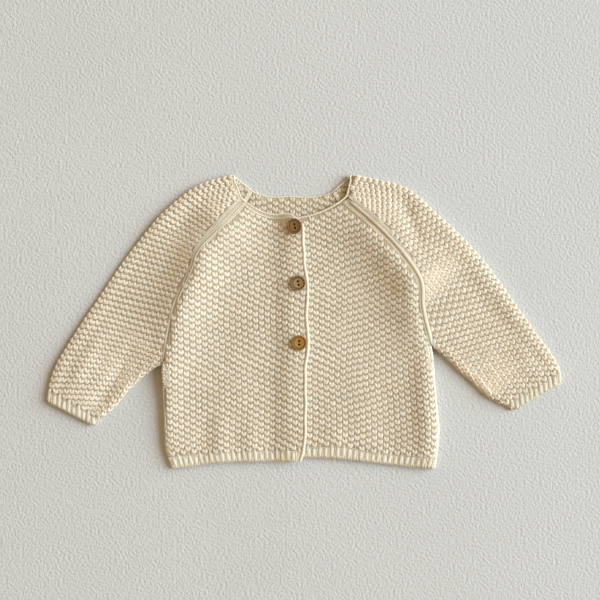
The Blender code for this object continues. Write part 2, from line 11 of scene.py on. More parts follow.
import bpy
import numpy as np
from mathutils import Matrix, Vector
from mathutils.bvhtree import BVHTree
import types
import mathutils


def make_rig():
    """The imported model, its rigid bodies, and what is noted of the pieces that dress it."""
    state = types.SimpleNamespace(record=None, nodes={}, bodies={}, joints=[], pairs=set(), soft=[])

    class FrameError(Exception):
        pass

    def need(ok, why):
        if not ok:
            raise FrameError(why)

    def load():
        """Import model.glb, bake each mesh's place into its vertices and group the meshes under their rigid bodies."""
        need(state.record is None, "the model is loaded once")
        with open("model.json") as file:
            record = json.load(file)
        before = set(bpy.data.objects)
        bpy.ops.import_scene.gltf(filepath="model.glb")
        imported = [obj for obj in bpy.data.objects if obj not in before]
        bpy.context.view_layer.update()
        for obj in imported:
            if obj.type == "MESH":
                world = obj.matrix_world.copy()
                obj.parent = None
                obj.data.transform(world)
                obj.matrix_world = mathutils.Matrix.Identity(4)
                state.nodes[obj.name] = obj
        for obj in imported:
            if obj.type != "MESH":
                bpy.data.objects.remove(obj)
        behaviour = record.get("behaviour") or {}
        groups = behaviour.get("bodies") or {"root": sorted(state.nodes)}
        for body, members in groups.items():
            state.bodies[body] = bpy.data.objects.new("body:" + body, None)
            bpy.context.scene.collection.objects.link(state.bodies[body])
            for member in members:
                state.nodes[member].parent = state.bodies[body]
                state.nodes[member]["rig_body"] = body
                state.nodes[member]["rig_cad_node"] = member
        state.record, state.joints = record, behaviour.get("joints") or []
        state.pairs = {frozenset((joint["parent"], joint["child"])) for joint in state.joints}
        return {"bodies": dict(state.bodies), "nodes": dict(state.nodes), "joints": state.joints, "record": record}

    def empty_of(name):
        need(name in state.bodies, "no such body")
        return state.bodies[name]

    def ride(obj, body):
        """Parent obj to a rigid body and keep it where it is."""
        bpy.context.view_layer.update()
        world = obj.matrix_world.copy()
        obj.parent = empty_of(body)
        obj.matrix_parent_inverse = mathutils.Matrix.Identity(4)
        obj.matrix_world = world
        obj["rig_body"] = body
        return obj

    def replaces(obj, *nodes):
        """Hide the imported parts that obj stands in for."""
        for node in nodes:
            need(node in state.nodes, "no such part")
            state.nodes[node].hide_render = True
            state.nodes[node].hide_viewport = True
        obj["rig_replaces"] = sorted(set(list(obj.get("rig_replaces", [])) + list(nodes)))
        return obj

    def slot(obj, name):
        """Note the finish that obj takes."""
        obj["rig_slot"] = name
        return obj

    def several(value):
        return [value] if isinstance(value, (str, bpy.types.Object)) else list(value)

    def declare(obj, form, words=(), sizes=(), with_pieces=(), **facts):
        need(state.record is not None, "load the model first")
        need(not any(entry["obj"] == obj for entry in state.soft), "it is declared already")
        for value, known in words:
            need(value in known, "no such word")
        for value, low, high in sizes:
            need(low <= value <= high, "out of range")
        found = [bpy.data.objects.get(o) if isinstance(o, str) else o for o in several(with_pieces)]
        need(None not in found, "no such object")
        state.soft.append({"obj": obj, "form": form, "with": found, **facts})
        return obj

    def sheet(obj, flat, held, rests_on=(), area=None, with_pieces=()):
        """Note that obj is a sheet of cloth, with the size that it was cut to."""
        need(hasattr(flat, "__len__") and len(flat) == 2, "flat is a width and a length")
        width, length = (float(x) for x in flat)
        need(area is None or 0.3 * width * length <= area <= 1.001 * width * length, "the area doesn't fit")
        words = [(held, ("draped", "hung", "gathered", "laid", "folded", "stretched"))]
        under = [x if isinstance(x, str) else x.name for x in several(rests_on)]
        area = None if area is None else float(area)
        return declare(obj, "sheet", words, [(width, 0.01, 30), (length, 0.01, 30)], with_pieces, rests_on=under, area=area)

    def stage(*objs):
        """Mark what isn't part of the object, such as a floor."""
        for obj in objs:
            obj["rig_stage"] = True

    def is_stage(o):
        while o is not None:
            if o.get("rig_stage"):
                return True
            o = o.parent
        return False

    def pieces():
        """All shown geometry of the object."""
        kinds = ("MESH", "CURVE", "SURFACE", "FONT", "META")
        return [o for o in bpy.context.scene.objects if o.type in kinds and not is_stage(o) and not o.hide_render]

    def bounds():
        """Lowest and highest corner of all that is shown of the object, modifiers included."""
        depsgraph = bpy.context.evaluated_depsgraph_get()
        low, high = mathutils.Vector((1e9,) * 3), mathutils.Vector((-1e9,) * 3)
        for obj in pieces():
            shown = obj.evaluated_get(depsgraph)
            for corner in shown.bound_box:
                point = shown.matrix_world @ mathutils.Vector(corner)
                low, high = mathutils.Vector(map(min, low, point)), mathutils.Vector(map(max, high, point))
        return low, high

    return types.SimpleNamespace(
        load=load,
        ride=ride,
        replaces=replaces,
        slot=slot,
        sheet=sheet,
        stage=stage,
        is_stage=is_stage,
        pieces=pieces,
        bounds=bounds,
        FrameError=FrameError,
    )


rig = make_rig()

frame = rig.load()
cad_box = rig.bounds()

MM = 0.001

# ---- the cloth and how it lies, as in its solids ----------------------------------------------------
SIDES = ("right", "left")               # the wearer's
WALL = 3.0                              # thickness of the solids' knit
GAP = 0.3                               # between solids that lie on each other
BACK_Z = WALL / 2                       # height of the middle of the back
FRONT_Z = BACK_Z + WALL + GAP           # the same of the fronts
LAP_Z = FRONT_Z + WALL + 2 * GAP        # the same of the right front where it lies on the left one
LAP_START = -36.0                       # x where the right front starts to climb on to the left one
LAP_FULL = -12.0                        # x where it is up
CORNER_RISE = 3.0                       # of the right front's neck corner
CORNER_REACH = (13.0, 24.0)             # how far that rise goes in x and in y
TURN = 3.5                              # width of the cloth's turn down to a seam
MOST_TURN = 1.2                         # the same, at most, as a share of its drop
TURN_STEPS = 3
FOLD_STEPS = 4                          # steps round a sleeve's folded top edge
SWELL_REACH = 13.0                      # from a seam to the top of the swell beside it
RIDGE_REACH = 18.0                      # how far a sleeve's ridge goes on from its raglan seam
TUCK = 5.5                              # from a side seam in to the edge of the back, which it covers
ARM_TUCK = WALL + 0.6                   # the same at a sleeve's lower edge
ARM_FOOT = 0.5                          # height that a sleeve's lower edge is turned down to
RIB_GAP = 0.6                           # between a panel and its rib
CUFF_GAP = 1.2                          # between a sleeve and its cuff
RIB_SECTIONS = 7                        # of the surface of a rib or cuff

HALVINGS = 8                            # sections of a surface between two rows of its table
ACROSS = 4                              # columns of a surface between two of its solid's
CLOTH_WALL = 1.2                        # the ground of the knit, which its stitches stand on
STAND = 0.45                            # height of a stitch's own middle over the middle of the cloth
UNDER_STAND = 0.55                      # the same on the underside, where the stitches are pressed flat
UNDER_FLATNESS = 0.5
FLOOR_REST = 0.6                        # yarn lower than this is pressed flat by the floor
OUTWARD = {"right": -1.0, "left": 1.0}  # turns the cross of a surface's two directions outwards

Section = namedtuple("Section", "name edge_x edge_y side_x side_y back_x back_y swell foot tuck")
RIGHT = (
    Section("rib top", -4.5, -130.0, -142.0, -137.5, -142.0, -137.5, 1.0, 0.5, TUCK),
    Section("hip", -4.0, -116.0, -144.5, -122.0, -144.5, -122.0, 1.5, 0.5, TUCK),
    Section("waist", -3.5, -78.0, -145.5, -80.0, -145.5, -80.0, 1.8, 0.5, TUCK),
    Section("below arm", -3.3, -57.0, -145.7, -58.0, -145.7, -58.0, 2.2, 3.6, TUCK),
    Section("underarm", -3.0, -43.0, -145.5, -43.0, -145.5, -43.0, 2.6, 3.6, GAP / 2),
    Section("low raglan", -0.8, 6.0, -135.5, 11.5, -118.5, 11.5, 4.8, 3.6, GAP / 2),
    Section("mid raglan", -0.6, 38.0, -117.5, 52.5, -98.0, 52.5, 5.2, 3.6, GAP / 2),
    Section("bend", -2.5, 58.0, -109.5, 74.0, -86.5, 74.0, 4.2, 3.6, GAP / 2),
    Section("high raglan", -5.0, 80.0, -86.5, 99.5, -73.0, 99.5, 2.4, 3.6, GAP / 2),
    Section("neck", -6.5, 99.5, -65.5, 123.0, -53.5, 131.5, 1.0, 3.6, GAP / 2),
)
LEFT = (
    Section("rib top", -19.5, -129.0, 136.0, -138.5, 136.0, -138.5, 1.0, 0.5, TUCK),
    Section("hip", -19.5, -110.0, 138.5, -112.0, 138.5, -112.0, 1.5, 0.5, TUCK),
    Section("waist", -19.5, -64.0, 134.3, -64.0, 134.3, -64.0, 1.8, 0.5, TUCK),
    Section("below arm", -19.5, -40.0, 131.8, -39.0, 131.8, -39.0, 2.2, 3.6, TUCK),
    Section("underarm", -19.5, -26.0, 129.5, -24.0, 129.5, -24.0, 2.6, 3.6, GAP / 2),
    Section("low raglan", -19.5, 8.0, 120.0, 13.0, 105.7, 13.0, 4.4, 3.6, GAP / 2),
    Section("mid raglan", -19.5, 34.0, 117.0, 42.5, 86.6, 42.5, 5.2, 3.6, GAP / 2),
    Section("bend", -19.5, 58.0, 97.0, 73.0, 66.3, 73.0, 4.6, 3.6, GAP / 2),
    Section("high raglan", -19.5, 80.0, 70.5, 101.5, 47.0, 101.5, 2.4, 3.6, GAP / 2),
    Section("neck", -19.5, 102.0, 43.5, 125.0, 27.5, 130.5, 1.0, 3.6, GAP / 2),
)
UNDERARM = 4                            # number of the underarm's row in both tables
HEM_SECTIONS = {
    "right": Section("hem", -8.0, -142.0, -137.5, -150.0, -137.5, -150.0, 0.5, 0.5, TUCK),
    "left": Section("hem", -19.5, -138.5, 134.5, -150.0, 134.5, -150.0, 0.5, 0.5, TUCK),
}
NECKLINES = {
    "right": ((-65.5, 123.0), (-50.0, 113.0), (-31.5, 107.5), (-14.5, 106.5), (-6.5, 99.5)),
    "left": ((-19.5, 102.0), (3.0, 106.0), (20.0, 111.5), (33.5, 118.5), (43.5, 125.0)),
    "back": ((-53.5, 131.5), (-44.0, 127.5), (-15.5, 126.5), (15.5, 127.0), (27.5, 130.5)),
}
RIB_LINES = {
    "right": ((-142.0, -137.5), (-117.5, -135.5), (-85.5, -133.5), (-4.5, -130.0)),
    "left": (
        (-19.5, -129.0), (1.0, -129.0), (45.0, -128.5), (61.0, -132.5), (88.5, -135.5), (136.0, -138.5),
    ),
    "back": (
        (-142.0, -137.5), (-85.0, -132.5), (-30.0, -129.5), (20.0, -127.5), (88.0, -135.0), (136.0, -138.5),
    ),
}
HEM_LINES = {
    "right": ((-137.5, -150.0), (-116.5, -147.5), (-91.5, -144.0), (-64.5, -143.0), (-8.0, -142.0)),
    "left": (
        (-19.5, -138.5), (26.0, -139.0), (57.5, -142.0), (88.5, -146.0), (109.5, -148.0), (134.5, -150.0),
    ),
    "back": (
        (-137.5, -150.0), (-90.0, -142.5), (-30.0, -139.0), (20.0, -137.0), (88.0, -144.5), (134.5, -150.0),
    ),
}

Arm = namedtuple("Arm", "name top_x top_y low_x low_y puff trough")
Cap = namedtuple("Cap", "name top_x top_y puff trough ridge")
CUFFS = {
    "right": (
        Arm("cuff edge", -264.0, -81.0, -215.0, -106.5, 0.8, 0.6),
        Arm("cuff top", -262.5, -69.0, -208.5, -100.0, 1.2, 1.0),
    ),
    "left": (
        Arm("cuff edge", 262.5, -62.0, 213.0, -91.0, 0.8, 0.0),
        Arm("cuff top", 261.0, -50.0, 202.5, -86.5, 1.2, 0.0),
    ),
}
ARMS = {
    "right": (
        Arm("cuff top", -262.5, -69.0, -208.5, -100.0, 1.2, 1.0),
        Arm("wrist", -256.0, -47.5, -195.0, -89.0, 1.6, 1.4),
        Arm("forearm", -244.0, -26.0, -180.5, -72.5, 1.8, 1.2),
        Arm("elbow", -227.5, 0.0, -164.0, -56.5, 1.8, 0.8),
    ),
    "left": (
        Arm("cuff top", 261.0, -50.0, 202.5, -86.5, 1.2, 0.0),
        Arm("wrist", 252.0, -34.0, 186.0, -77.5, 1.6, 0.2),
        Arm("forearm", 235.5, -11.5, 173.0, -65.0, 1.8, 0.2),
        Arm("elbow", 215.0, 17.0, 153.0, -47.5, 1.8, 0.2),
    ),
}
CAPS = {
    "right": (
        Cap("underarm", -210.5, 25.0, 1.8, 0.3, 1.0),
        Cap("low raglan", -186.0, 62.0, 1.6, 0.0, 1.0),
        Cap("mid raglan", -160.0, 95.0, 1.4, 0.0, 1.4),
        Cap("bend", -143.5, 113.0, 1.2, 0.0, 2.0),
        Cap("high raglan", -112.0, 138.0, 1.0, 0.0, 2.4),
        Cap("neck", -75.5, 150.0, 0.6, 0.0, 1.2),
    ),
    "left": (
        Cap("underarm", 194.0, 46.0, 1.8, 0.2, 1.0),
        Cap("low raglan", 178.0, 66.5, 1.6, 0.0, 1.0),
        Cap("mid raglan", 157.0, 89.0, 1.4, 0.0, 1.8),
        Cap("bend", 133.0, 111.0, 1.2, 0.0, 2.6),
        Cap("high raglan", 102.0, 136.5, 1.0, 0.0, 2.8),
        Cap("neck", 49.0, 150.0, 0.6, 0.0, 1.2),
    ),
}
TROUGH_PLACE = 15.0
TROUGH_WIDTH = 7.0

# ---- the buttons ------------------------------------------------------------------------------------
BUTTON_RADIUS = 7.5
HOLE_RADIUS = 1.25
HOLE_SPACING = 3.6
Button = namedtuple("Button", "x y tilt turn")
BUTTONS = (Button(-10.0, 96.5, 20.0, 12.0), Button(-7.0, 39.0, 0.0, 14.0), Button(-6.0, -21.5, 0.0, 1.0))

# ---- the stitches -----------------------------------------------------------------------------------
COLUMN_PITCH = 5.85                     # of the brick-laid stitches of the panels, and of the hem's ribs
ROW_PITCH = 6.4
ARM_COLUMN_PITCH = 5.6                  # the same on the sleeves and cuffs
ARM_ROW_PITCH = 6.3
CAP_LEAN = 0.2                          # how far a sleeve's rows lean over to the cuff beside the shoulder
BAND_PITCH = 3.1                        # of the small stitches of side seams
STITCH_FLATNESS = 0.45                  # height of a stitch as a share of its yarn's
STITCH_WIDTH = 1.13
STITCH_LENGTH = 1.07


# ---- lines and sections -----------------------------------------------------------------------------
def smooth_step(share):
    """Share of a change at a share of its way, slow at both ends."""
    share = min(max(share, 0.0), 1.0)
    return share * share * (3.0 - 2.0 * share)


def steps_along(points):
    """Length of a line of points up to each of them."""
    return np.concatenate([[0.0], np.cumsum(np.linalg.norm(np.diff(points, axis=0), axis=1))])


def line_through(places, values):
    """Smooth line that has the given values at the given rising places."""
    places = np.array(places, float)
    values = np.array(values, float)
    slopes = np.gradient(values, places, axis=0)

    def at(place):
        k = int(np.clip(np.searchsorted(places, place) - 1, 0, len(places) - 2))
        span = places[k + 1] - places[k]
        t = (place - places[k]) / span
        start = values[k] * (2 * t**3 - 3 * t**2 + 1) + slopes[k] * span * (t**3 - 2 * t**2 + t)
        end = values[k + 1] * (3 * t**2 - 2 * t**3) + slopes[k + 1] * span * (t**3 - t**2)
        return start + end

    return at


def outline(points):
    """Height of an outline, given as x, y points with x rising, over any x."""
    return line_through([x for x, _ in points], [y for _, y in points])


def bow_of(points):
    """How far an outline of x, y points with x rising lies above the straight line between its ends."""
    line = outline(points)
    (first_x, first_y), (last_x, last_y) = points[0], points[-1]

    def at(share):
        return line(first_x + share * (last_x - first_x)) - (first_y + share * (last_y - first_y))

    return at


def bend(row, bow, amount, shift=0.0):
    """Bends a straight row of points by a share of an outline's bow, and shifts it along the garment."""
    low_x = min(row[0][0], row[-1][0])
    high_x = max(row[0][0], row[-1][0])
    return [(x, y + amount * bow((x - low_x) / (high_x - low_x)) + shift, z) for x, y, z in row]


def column(table, name):
    return [getattr(row, name) for row in table]


def point_line(table, name):
    """Smooth line through a table's x, y columns, by the number of its row."""
    points = list(zip(column(table, name + "_x"), column(table, name + "_y")))
    return line_through(range(len(table)), points)


def size_at(table, name, place):
    """Value of a table's column between two of its rows."""
    return float(np.interp(place, range(len(table)), column(table, name)))


def places_of(table):
    """Row numbers of all the sections that a table is worked out to."""
    count = (len(table) - 1) * HALVINGS
    return [k / HALVINGS for k in range(count + 1)]


def swell_height(amount, distance):
    """Height of the soft swell of a front beside its seam."""
    share = distance / SWELL_REACH
    return amount * share * math.exp(1.0 - share)


def right_front_height(x, y):
    """The right front climbs over the left one, and its neck corner stands up a little."""
    lap = (LAP_Z - FRONT_Z) * smooth_step((x - LAP_START) / (LAP_FULL - LAP_START))
    corner_x, corner_y = NECKLINES["right"][-1]
    wide, high = CORNER_REACH
    corner = math.exp(-(((x - corner_x) / wide) ** 2) - ((y - corner_y) / high) ** 2)
    return FRONT_Z + lap + CORNER_RISE * corner


def left_front_height(x, y):
    """The left front lies level, whatever x and y are."""
    return FRONT_Z


HEIGHTS = {"right": right_front_height, "left": left_front_height}
BODY = {"right": RIGHT, "left": LEFT}

# ---- fronts -----------------------------------------------------------------------------------------
OPENING_COLUMNS = {
    "right": (0.0, 7.0, 14.0, 20.0, 29.0, 38.0),
    "left": (0.0, 12.0, 30.0),
}
MIDDLE_SHARES = (0.33, 0.66)
SWELL_COLUMNS = (30.0, 20.0, 12.0, 7.0)
FULL_ROW = 120.0
NECK_REACH = 2.0
RIB_REACH = 3.0


def front_row(side, edge, end, along, swell, foot):
    """Middle of a front's cloth on one section, from the opening to its turned-down edge at the seam."""
    edge = Vector(edge)
    end = Vector(end)
    across = end - edge
    length = across.length
    slant = abs(across.normalized().cross(Vector(along).normalized()))
    inset = WALL / 2 + GAP

    def place(distance):
        return end - across.normalized() * (inset + distance) / slant

    def level(point, distance):
        return HEIGHTS[side](point.x, point.y) + swell_height(swell, distance)

    closer = min(1.0, length / FULL_ROW)
    points = [edge + across.normalized() * distance * closer for distance in OPENING_COLUMNS[side]]
    last = points[-1]
    points += [last.lerp(place(SWELL_COLUMNS[0] * closer), share) for share in MIDDLE_SHARES]
    points += [place(distance * closer) for distance in SWELL_COLUMNS]
    row = [(point, level(point, (end - point).length * slant - inset)) for point in points]
    top = level(place(TURN), TURN)
    turn = min(TURN, MOST_TURN * (top - foot))
    for k in range(TURN_STEPS, -1, -1):
        angle = k / TURN_STEPS * math.pi / 2
        row.append((place(turn * (1.0 - math.cos(angle))), foot + (top - foot) * math.sin(angle)))
    return [(point.x, point.y, z) for point, z in row]


def bend_to_ends(row, piece, place):
    """Bends a section of the body to the neckline and to the rib, the more the nearer it is to them."""
    from_neck = len(RIGHT) - 1 - place
    neck_share = max(0.0, 1.0 - from_neck / NECK_REACH) ** 2
    rib_share = max(0.0, 1.0 - place / RIB_REACH) ** 2
    shift = RIB_GAP / 2 if place == 0 else 0.0
    row = bend(row, bow_of(NECKLINES[piece]), neck_share)
    return bend(row, bow_of(RIB_LINES[piece]), rib_share, shift)


def front_rows(side):
    """Sections of a front from the rib to the neck."""
    table = BODY[side]
    edge = point_line(table, "edge")
    seam = point_line(table, "side")
    rows = []
    for place in places_of(table):
        along = seam(place + 0.1) - seam(place - 0.1)
        sizes = size_at(table, "swell", place), size_at(table, "foot", place)
        rows.append(bend_to_ends(front_row(side, edge(place), seam(place), along, *sizes), side, place))
    return rows


def front_rib_rows(side):
    """Sections of a front's rib from the hem's edge to the front."""
    hem = HEM_SECTIONS[side]
    rib = BODY[side][0]
    along = (rib.side_x - hem.side_x, rib.side_y - hem.side_y)
    rows = []
    for share in np.linspace(0.0, 1.0, RIB_SECTIONS):
        edge = (
            hem.edge_x + share * (rib.edge_x - hem.edge_x),
            hem.edge_y + share * (rib.edge_y - hem.edge_y),
        )
        end = (hem.side_x + share * along[0], hem.side_y + share * along[1])
        swell = hem.swell + share * (rib.swell - hem.swell)
        row = front_row(side, edge, end, along, swell, hem.foot)
        row = bend(row, bow_of(HEM_LINES[side]), 1.0 - share)
        rows.append(bend(row, bow_of(RIB_LINES[side]), share, -share * RIB_GAP / 2))
    return rows


# ---- back -------------------------------------------------------------------------------------------
BACK_COLUMNS = 10


def back_row(right_end, left_end, right_tuck, left_tuck):
    start = Vector((right_end[0] + right_tuck, right_end[1]))
    end = Vector((left_end[0] - left_tuck, left_end[1]))
    points = [start.lerp(end, k / BACK_COLUMNS) for k in range(BACK_COLUMNS + 1)]
    return [(point.x, point.y, BACK_Z) for point in points]


def back_rows():
    """Sections of the back from the rib to the neck."""
    right = point_line(RIGHT, "back")
    left = point_line(LEFT, "back")
    rows = []
    for place in places_of(RIGHT):
        tucks = size_at(RIGHT, "tuck", place), size_at(LEFT, "tuck", place)
        rows.append(bend_to_ends(back_row(right(place), left(place), *tucks), "back", place))
    return rows


def back_rib_rows():
    """Sections of the back's rib from the hem's edge to the back."""
    first = back_row(HEM_LINES["back"][0], HEM_LINES["back"][-1], TUCK, TUCK)
    last = back_row(RIB_LINES["back"][0], RIB_LINES["back"][-1], TUCK, TUCK)
    first = np.array(bend(first, bow_of(HEM_LINES["back"]), 1.0))
    last = np.array(bend(last, bow_of(RIB_LINES["back"]), 1.0, -RIB_GAP / 2))
    return [first + (last - first) * share for share in np.linspace(0.0, 1.0, RIB_SECTIONS)]


# ---- sleeves ----------------------------------------------------------------------------------------
WIDTH_SHARES = (0.14, 0.25, 0.38, 0.55, 0.78)
NARROW_TURN = 0.1
UNDER_COLUMNS = 3


def sleeve_row(top, front, back, puff, trough, ridge, closed):
    """Middle of a sleeve's cloth on one section: from its front end over the top fold to its back end.

    closed is 1 where the lower edge is folded down to the surface, and 0 on the raglan seams.
    """
    top, front, back = Vector(top), Vector(front), Vector(back)
    up = (top - front).normalized()
    width = (top - front).length
    down = (back - top).normalized()
    outward = (up - down).normalized()

    def level(distance):
        share = min(max(distance / width, 0.0), 1.0)
        crease = trough * math.exp(-(((distance - TROUGH_PLACE) / TROUGH_WIDTH) ** 2))
        air = puff * math.sqrt(math.sin(math.pi * share)) - crease
        return FRONT_Z + max(air, 0.0) + ridge * math.exp(-distance / RIDGE_REACH)

    start = closed * WALL / 2 + (1.0 - closed) * GAP
    foot = closed * ARM_FOOT + (1.0 - closed) * level(start)
    turn = min(TURN, NARROW_TURN * width)
    row = []
    for k in range(TURN_STEPS + 1):
        angle = k / TURN_STEPS * math.pi / 2
        distance = start + turn * (1.0 - math.cos(angle))
        row.append((front + up * distance, foot + (level(start + turn) - foot) * math.sin(angle)))
    for share in WIDTH_SHARES:
        row.append((front + up * share * width, level(share * width)))
    crest = level(width - WALL)
    radius = (crest - BACK_Z) / 2
    centre = top - outward * (radius + WALL / 2)
    for k in range(FOLD_STEPS + 1):
        angle = math.pi / 2 - k / FOLD_STEPS * math.pi
        row.append((centre + outward * radius * math.cos(angle), BACK_Z + radius + radius * math.sin(angle)))
    tuck = closed * ARM_TUCK + (1.0 - closed) * GAP / 2
    end = back - down * tuck
    for k in range(1, UNDER_COLUMNS + 1):
        row.append((centre.lerp(end, k / UNDER_COLUMNS), BACK_Z))
    return [(point.x, point.y, z) for point, z in row]


FOLD_COLUMN = (TURN_STEPS + 1 + len(WIDTH_SHARES) + FOLD_STEPS // 2) * ACROSS


def sleeve_rows(side):
    """Sections of a sleeve from the cuff rib to the neck."""
    arm, body = ARMS[side], BODY[side]
    both = arm + CAPS[side]
    top = point_line(both, "top")
    underarm = (body[UNDERARM].side_x, body[UNDERARM].side_y)
    low = line_through(range(len(arm) + 1), [(row.low_x, row.low_y) for row in arm] + [underarm])
    seam_front = point_line(body, "side")
    seam_back = point_line(body, "back")
    ridges = [0.0] * len(arm) + column(CAPS[side], "ridge")
    rows = []
    for place in places_of(both):
        ends = (low(place), low(place))
        if place >= len(arm):
            ends = (seam_front(place - len(arm) + UNDERARM), seam_back(place - len(arm) + UNDERARM))
        closed = min(max(len(arm) - place, 0.0) * 2.0, 1.0)
        puff = size_at(both, "puff", place)
        trough = size_at(both, "trough", place)
        ridge = float(np.interp(place, range(len(both)), ridges))
        rows.append(sleeve_row(top(place), *ends, puff, trough, ridge, closed))
    return rows


def cuff_rows(side):
    """Sections of a cuff from its edge to just short of the sleeve."""
    edge, joint = CUFFS[side]
    height = math.dist(edge[1:3], joint[1:3])
    rows = []
    for share in np.linspace(0.0, 1.0 - CUFF_GAP / height, RIB_SECTIONS):
        sizes = [first + (last - first) * share for first, last in zip(edge[1:], joint[1:])]
        top_x, top_y, low_x, low_y, puff, trough = sizes
        rows.append(sleeve_row((top_x, top_y), (low_x, low_y), (low_x, low_y), puff, trough, 0.0, 1.0))
    return rows


# ---- surfaces ---------------------------------------------------------------------------------------
UPPER_START = 2.0                       # the cloth turns from resting to raised from this height
UPPER_FULL = 3.4                        # up to this one
BOW_REACH = 13.0                        # how far in from a bowed edge the cloth moves with it


class Surface:
    """The middle of a cloth's wall as a fine grid of points: rows run across, columns run along."""

    def __init__(self, rows, creases=(), ridge=None, bows=None):
        self.points = np.array([self.refined(row) for row in rows])
        if ridge:
            self.lift_beside(*ridge)
        if bows:
            self.bow_edge(*zip(*bows))
        for crease in creases:
            self.press(crease)
        steps = np.linalg.norm(np.diff(self.points, axis=1), axis=2)
        self.across = np.concatenate([np.zeros((len(steps), 1)), np.cumsum(steps, axis=1)], axis=1)

    @staticmethod
    def refined(row):
        """A row's points with more between them, on a smooth line through it."""
        row = np.array(row, float)
        lengths = steps_along(row)
        line = line_through(lengths, row)
        numbers = np.arange((len(row) - 1) * ACROSS + 1) / ACROSS
        return [line(place) for place in np.interp(numbers, range(len(row)), lengths)]

    def upper(self):
        """Share of a rise that each point takes: all on the upper side, none on the side that rests."""
        share = np.clip((self.points[..., 2] - UPPER_START) / (UPPER_FULL - UPPER_START), 0.0, 1.0)
        return share * share * (3.0 - 2.0 * share)

    def press(self, crease):
        """Raises or sinks the upper side of the cloth along a soft straight crease."""
        angle = math.radians(crease.angle)
        x = self.points[..., 0] - crease.x
        y = self.points[..., 1] - crease.y
        along = (x * math.cos(angle) + y * math.sin(angle)) / crease.length
        beside = (y * math.cos(angle) - x * math.sin(angle)) / crease.width
        self.points[..., 2] += crease.rise * self.upper() * np.exp(-(along**2) - beside**2)

    def lift_beside(self, line, heights, width, power):
        """Raises the upper side into a ridge along a line of x, y points that each have a height.

        A ridge is round on top with the power 2, and as sharp as a tent with the power 1.
        """
        flat = self.points[..., :2].reshape(-1, 1, 2)
        start, step = line[:-1], np.diff(line, axis=0)
        share = np.clip(((flat - start) * step).sum(axis=-1) / (step**2).sum(axis=-1), 0.0, 1.0)
        off = np.linalg.norm(flat - start - share[..., None] * step, axis=-1)
        nearest = off.argmin(axis=1)
        numbers = np.arange(len(nearest))
        height = np.interp(nearest + share[numbers, nearest], range(len(line)), heights)
        off = off[numbers, nearest] / width
        rise = height * np.exp(-(off**power))
        self.points[..., 2] += self.upper() * rise.reshape(self.points.shape[:2])

    def bow_edge(self, heights, shifts):
        """Moves the first edge sideways by a table over height, and the cloth beside it a little less."""
        x, y = self.points[..., 0], self.points[..., 1]
        off = (x - x[:, :1]) / BOW_REACH
        self.points[..., 0] = x + np.interp(y, heights, shifts) * np.exp(-(off**2))

    def on_row(self, number, distance):
        """Point at a distance along one row."""
        lengths = self.across[number]
        return np.array([np.interp(distance, lengths, self.points[number, :, axis]) for axis in range(3)])

    def at(self, place, distance, datum):
        """Point at a distance from a datum column, on a place between two rows."""
        low = int(min(max(place, 0), len(self.points) - 2))
        share = place - low
        lower = self.on_row(low, self.across[low, datum] + distance)
        upper = self.on_row(low + 1, self.across[low + 1, datum] + distance)
        return lower + share * (upper - lower)

    def reach(self, place, datum, column_number):
        """Distance on a row from the datum column to another column."""
        numbers = range(len(self.across))
        return float(np.interp(place, numbers, self.across[:, column_number] - self.across[:, datum]))

    def places_along(self, datum):
        """Length of the datum column from the first row to each row."""
        return steps_along(self.points[:, datum])

    def area(self):
        """Area in square metres, from the diagonals of each four-sided face."""
        grid = self.points
        crosses = np.cross(grid[1:, 1:] - grid[:-1, :-1], grid[1:, :-1] - grid[:-1, 1:])
        return float(np.linalg.norm(crosses, axis=2).sum() / 2) * MM * MM

    def faces(self):
        rows, columns = self.points.shape[:2]
        corner = np.arange(rows * columns).reshape(rows, columns)
        quads = np.stack([corner[:-1, :-1], corner[:-1, 1:], corner[1:, 1:], corner[1:, :-1]], axis=-1)
        return quads.reshape(-1, 4).tolist()

    def tree(self):
        return BVHTree.FromPolygons(self.points.reshape(-1, 3).tolist(), self.faces())


RIDGE_HEIGHTS = {                       # of the raglan seams, by the rows of the tables from the underarm
    "right": (5.4, 9.0, 10.4, 10.2, 8.2, 1.6),
    "left": (0.8, 6.2, 9.0, 8.8, 5.8, 1.0),
}
RIDGE_SHAPES = {                        # width and power, as Surface.lift_beside takes them
    "front_right": (29.0, 2.0),
    "front_left": (29.0, 2.0),
    "sleeve_right": (27.0, 1.15),
    "sleeve_left": (50.0, 1.5),
}
RIDGE_POINTS = 41
EDGE_BOWS = (                           # how far the right front's edge stands out, by height
    (-145.0, 0.8), (-130.0, 1.0), (-120.0, 2.1), (-75.0, 2.1), (-62.0, 1.4), (-50.0, 1.4), (-37.0, 2.3),
    (-29.0, 3.1), (-21.0, 3.9), (-13.0, 2.4), (-4.0, 1.0), (14.0, 0.1), (28.0, 1.2), (36.0, 1.7),
    (44.0, 0.3), (60.0, 0.3), (77.0, 0.9), (85.0, 1.8), (99.0, 1.6),
)
Crease = namedtuple("Crease", "x y angle length width rise")
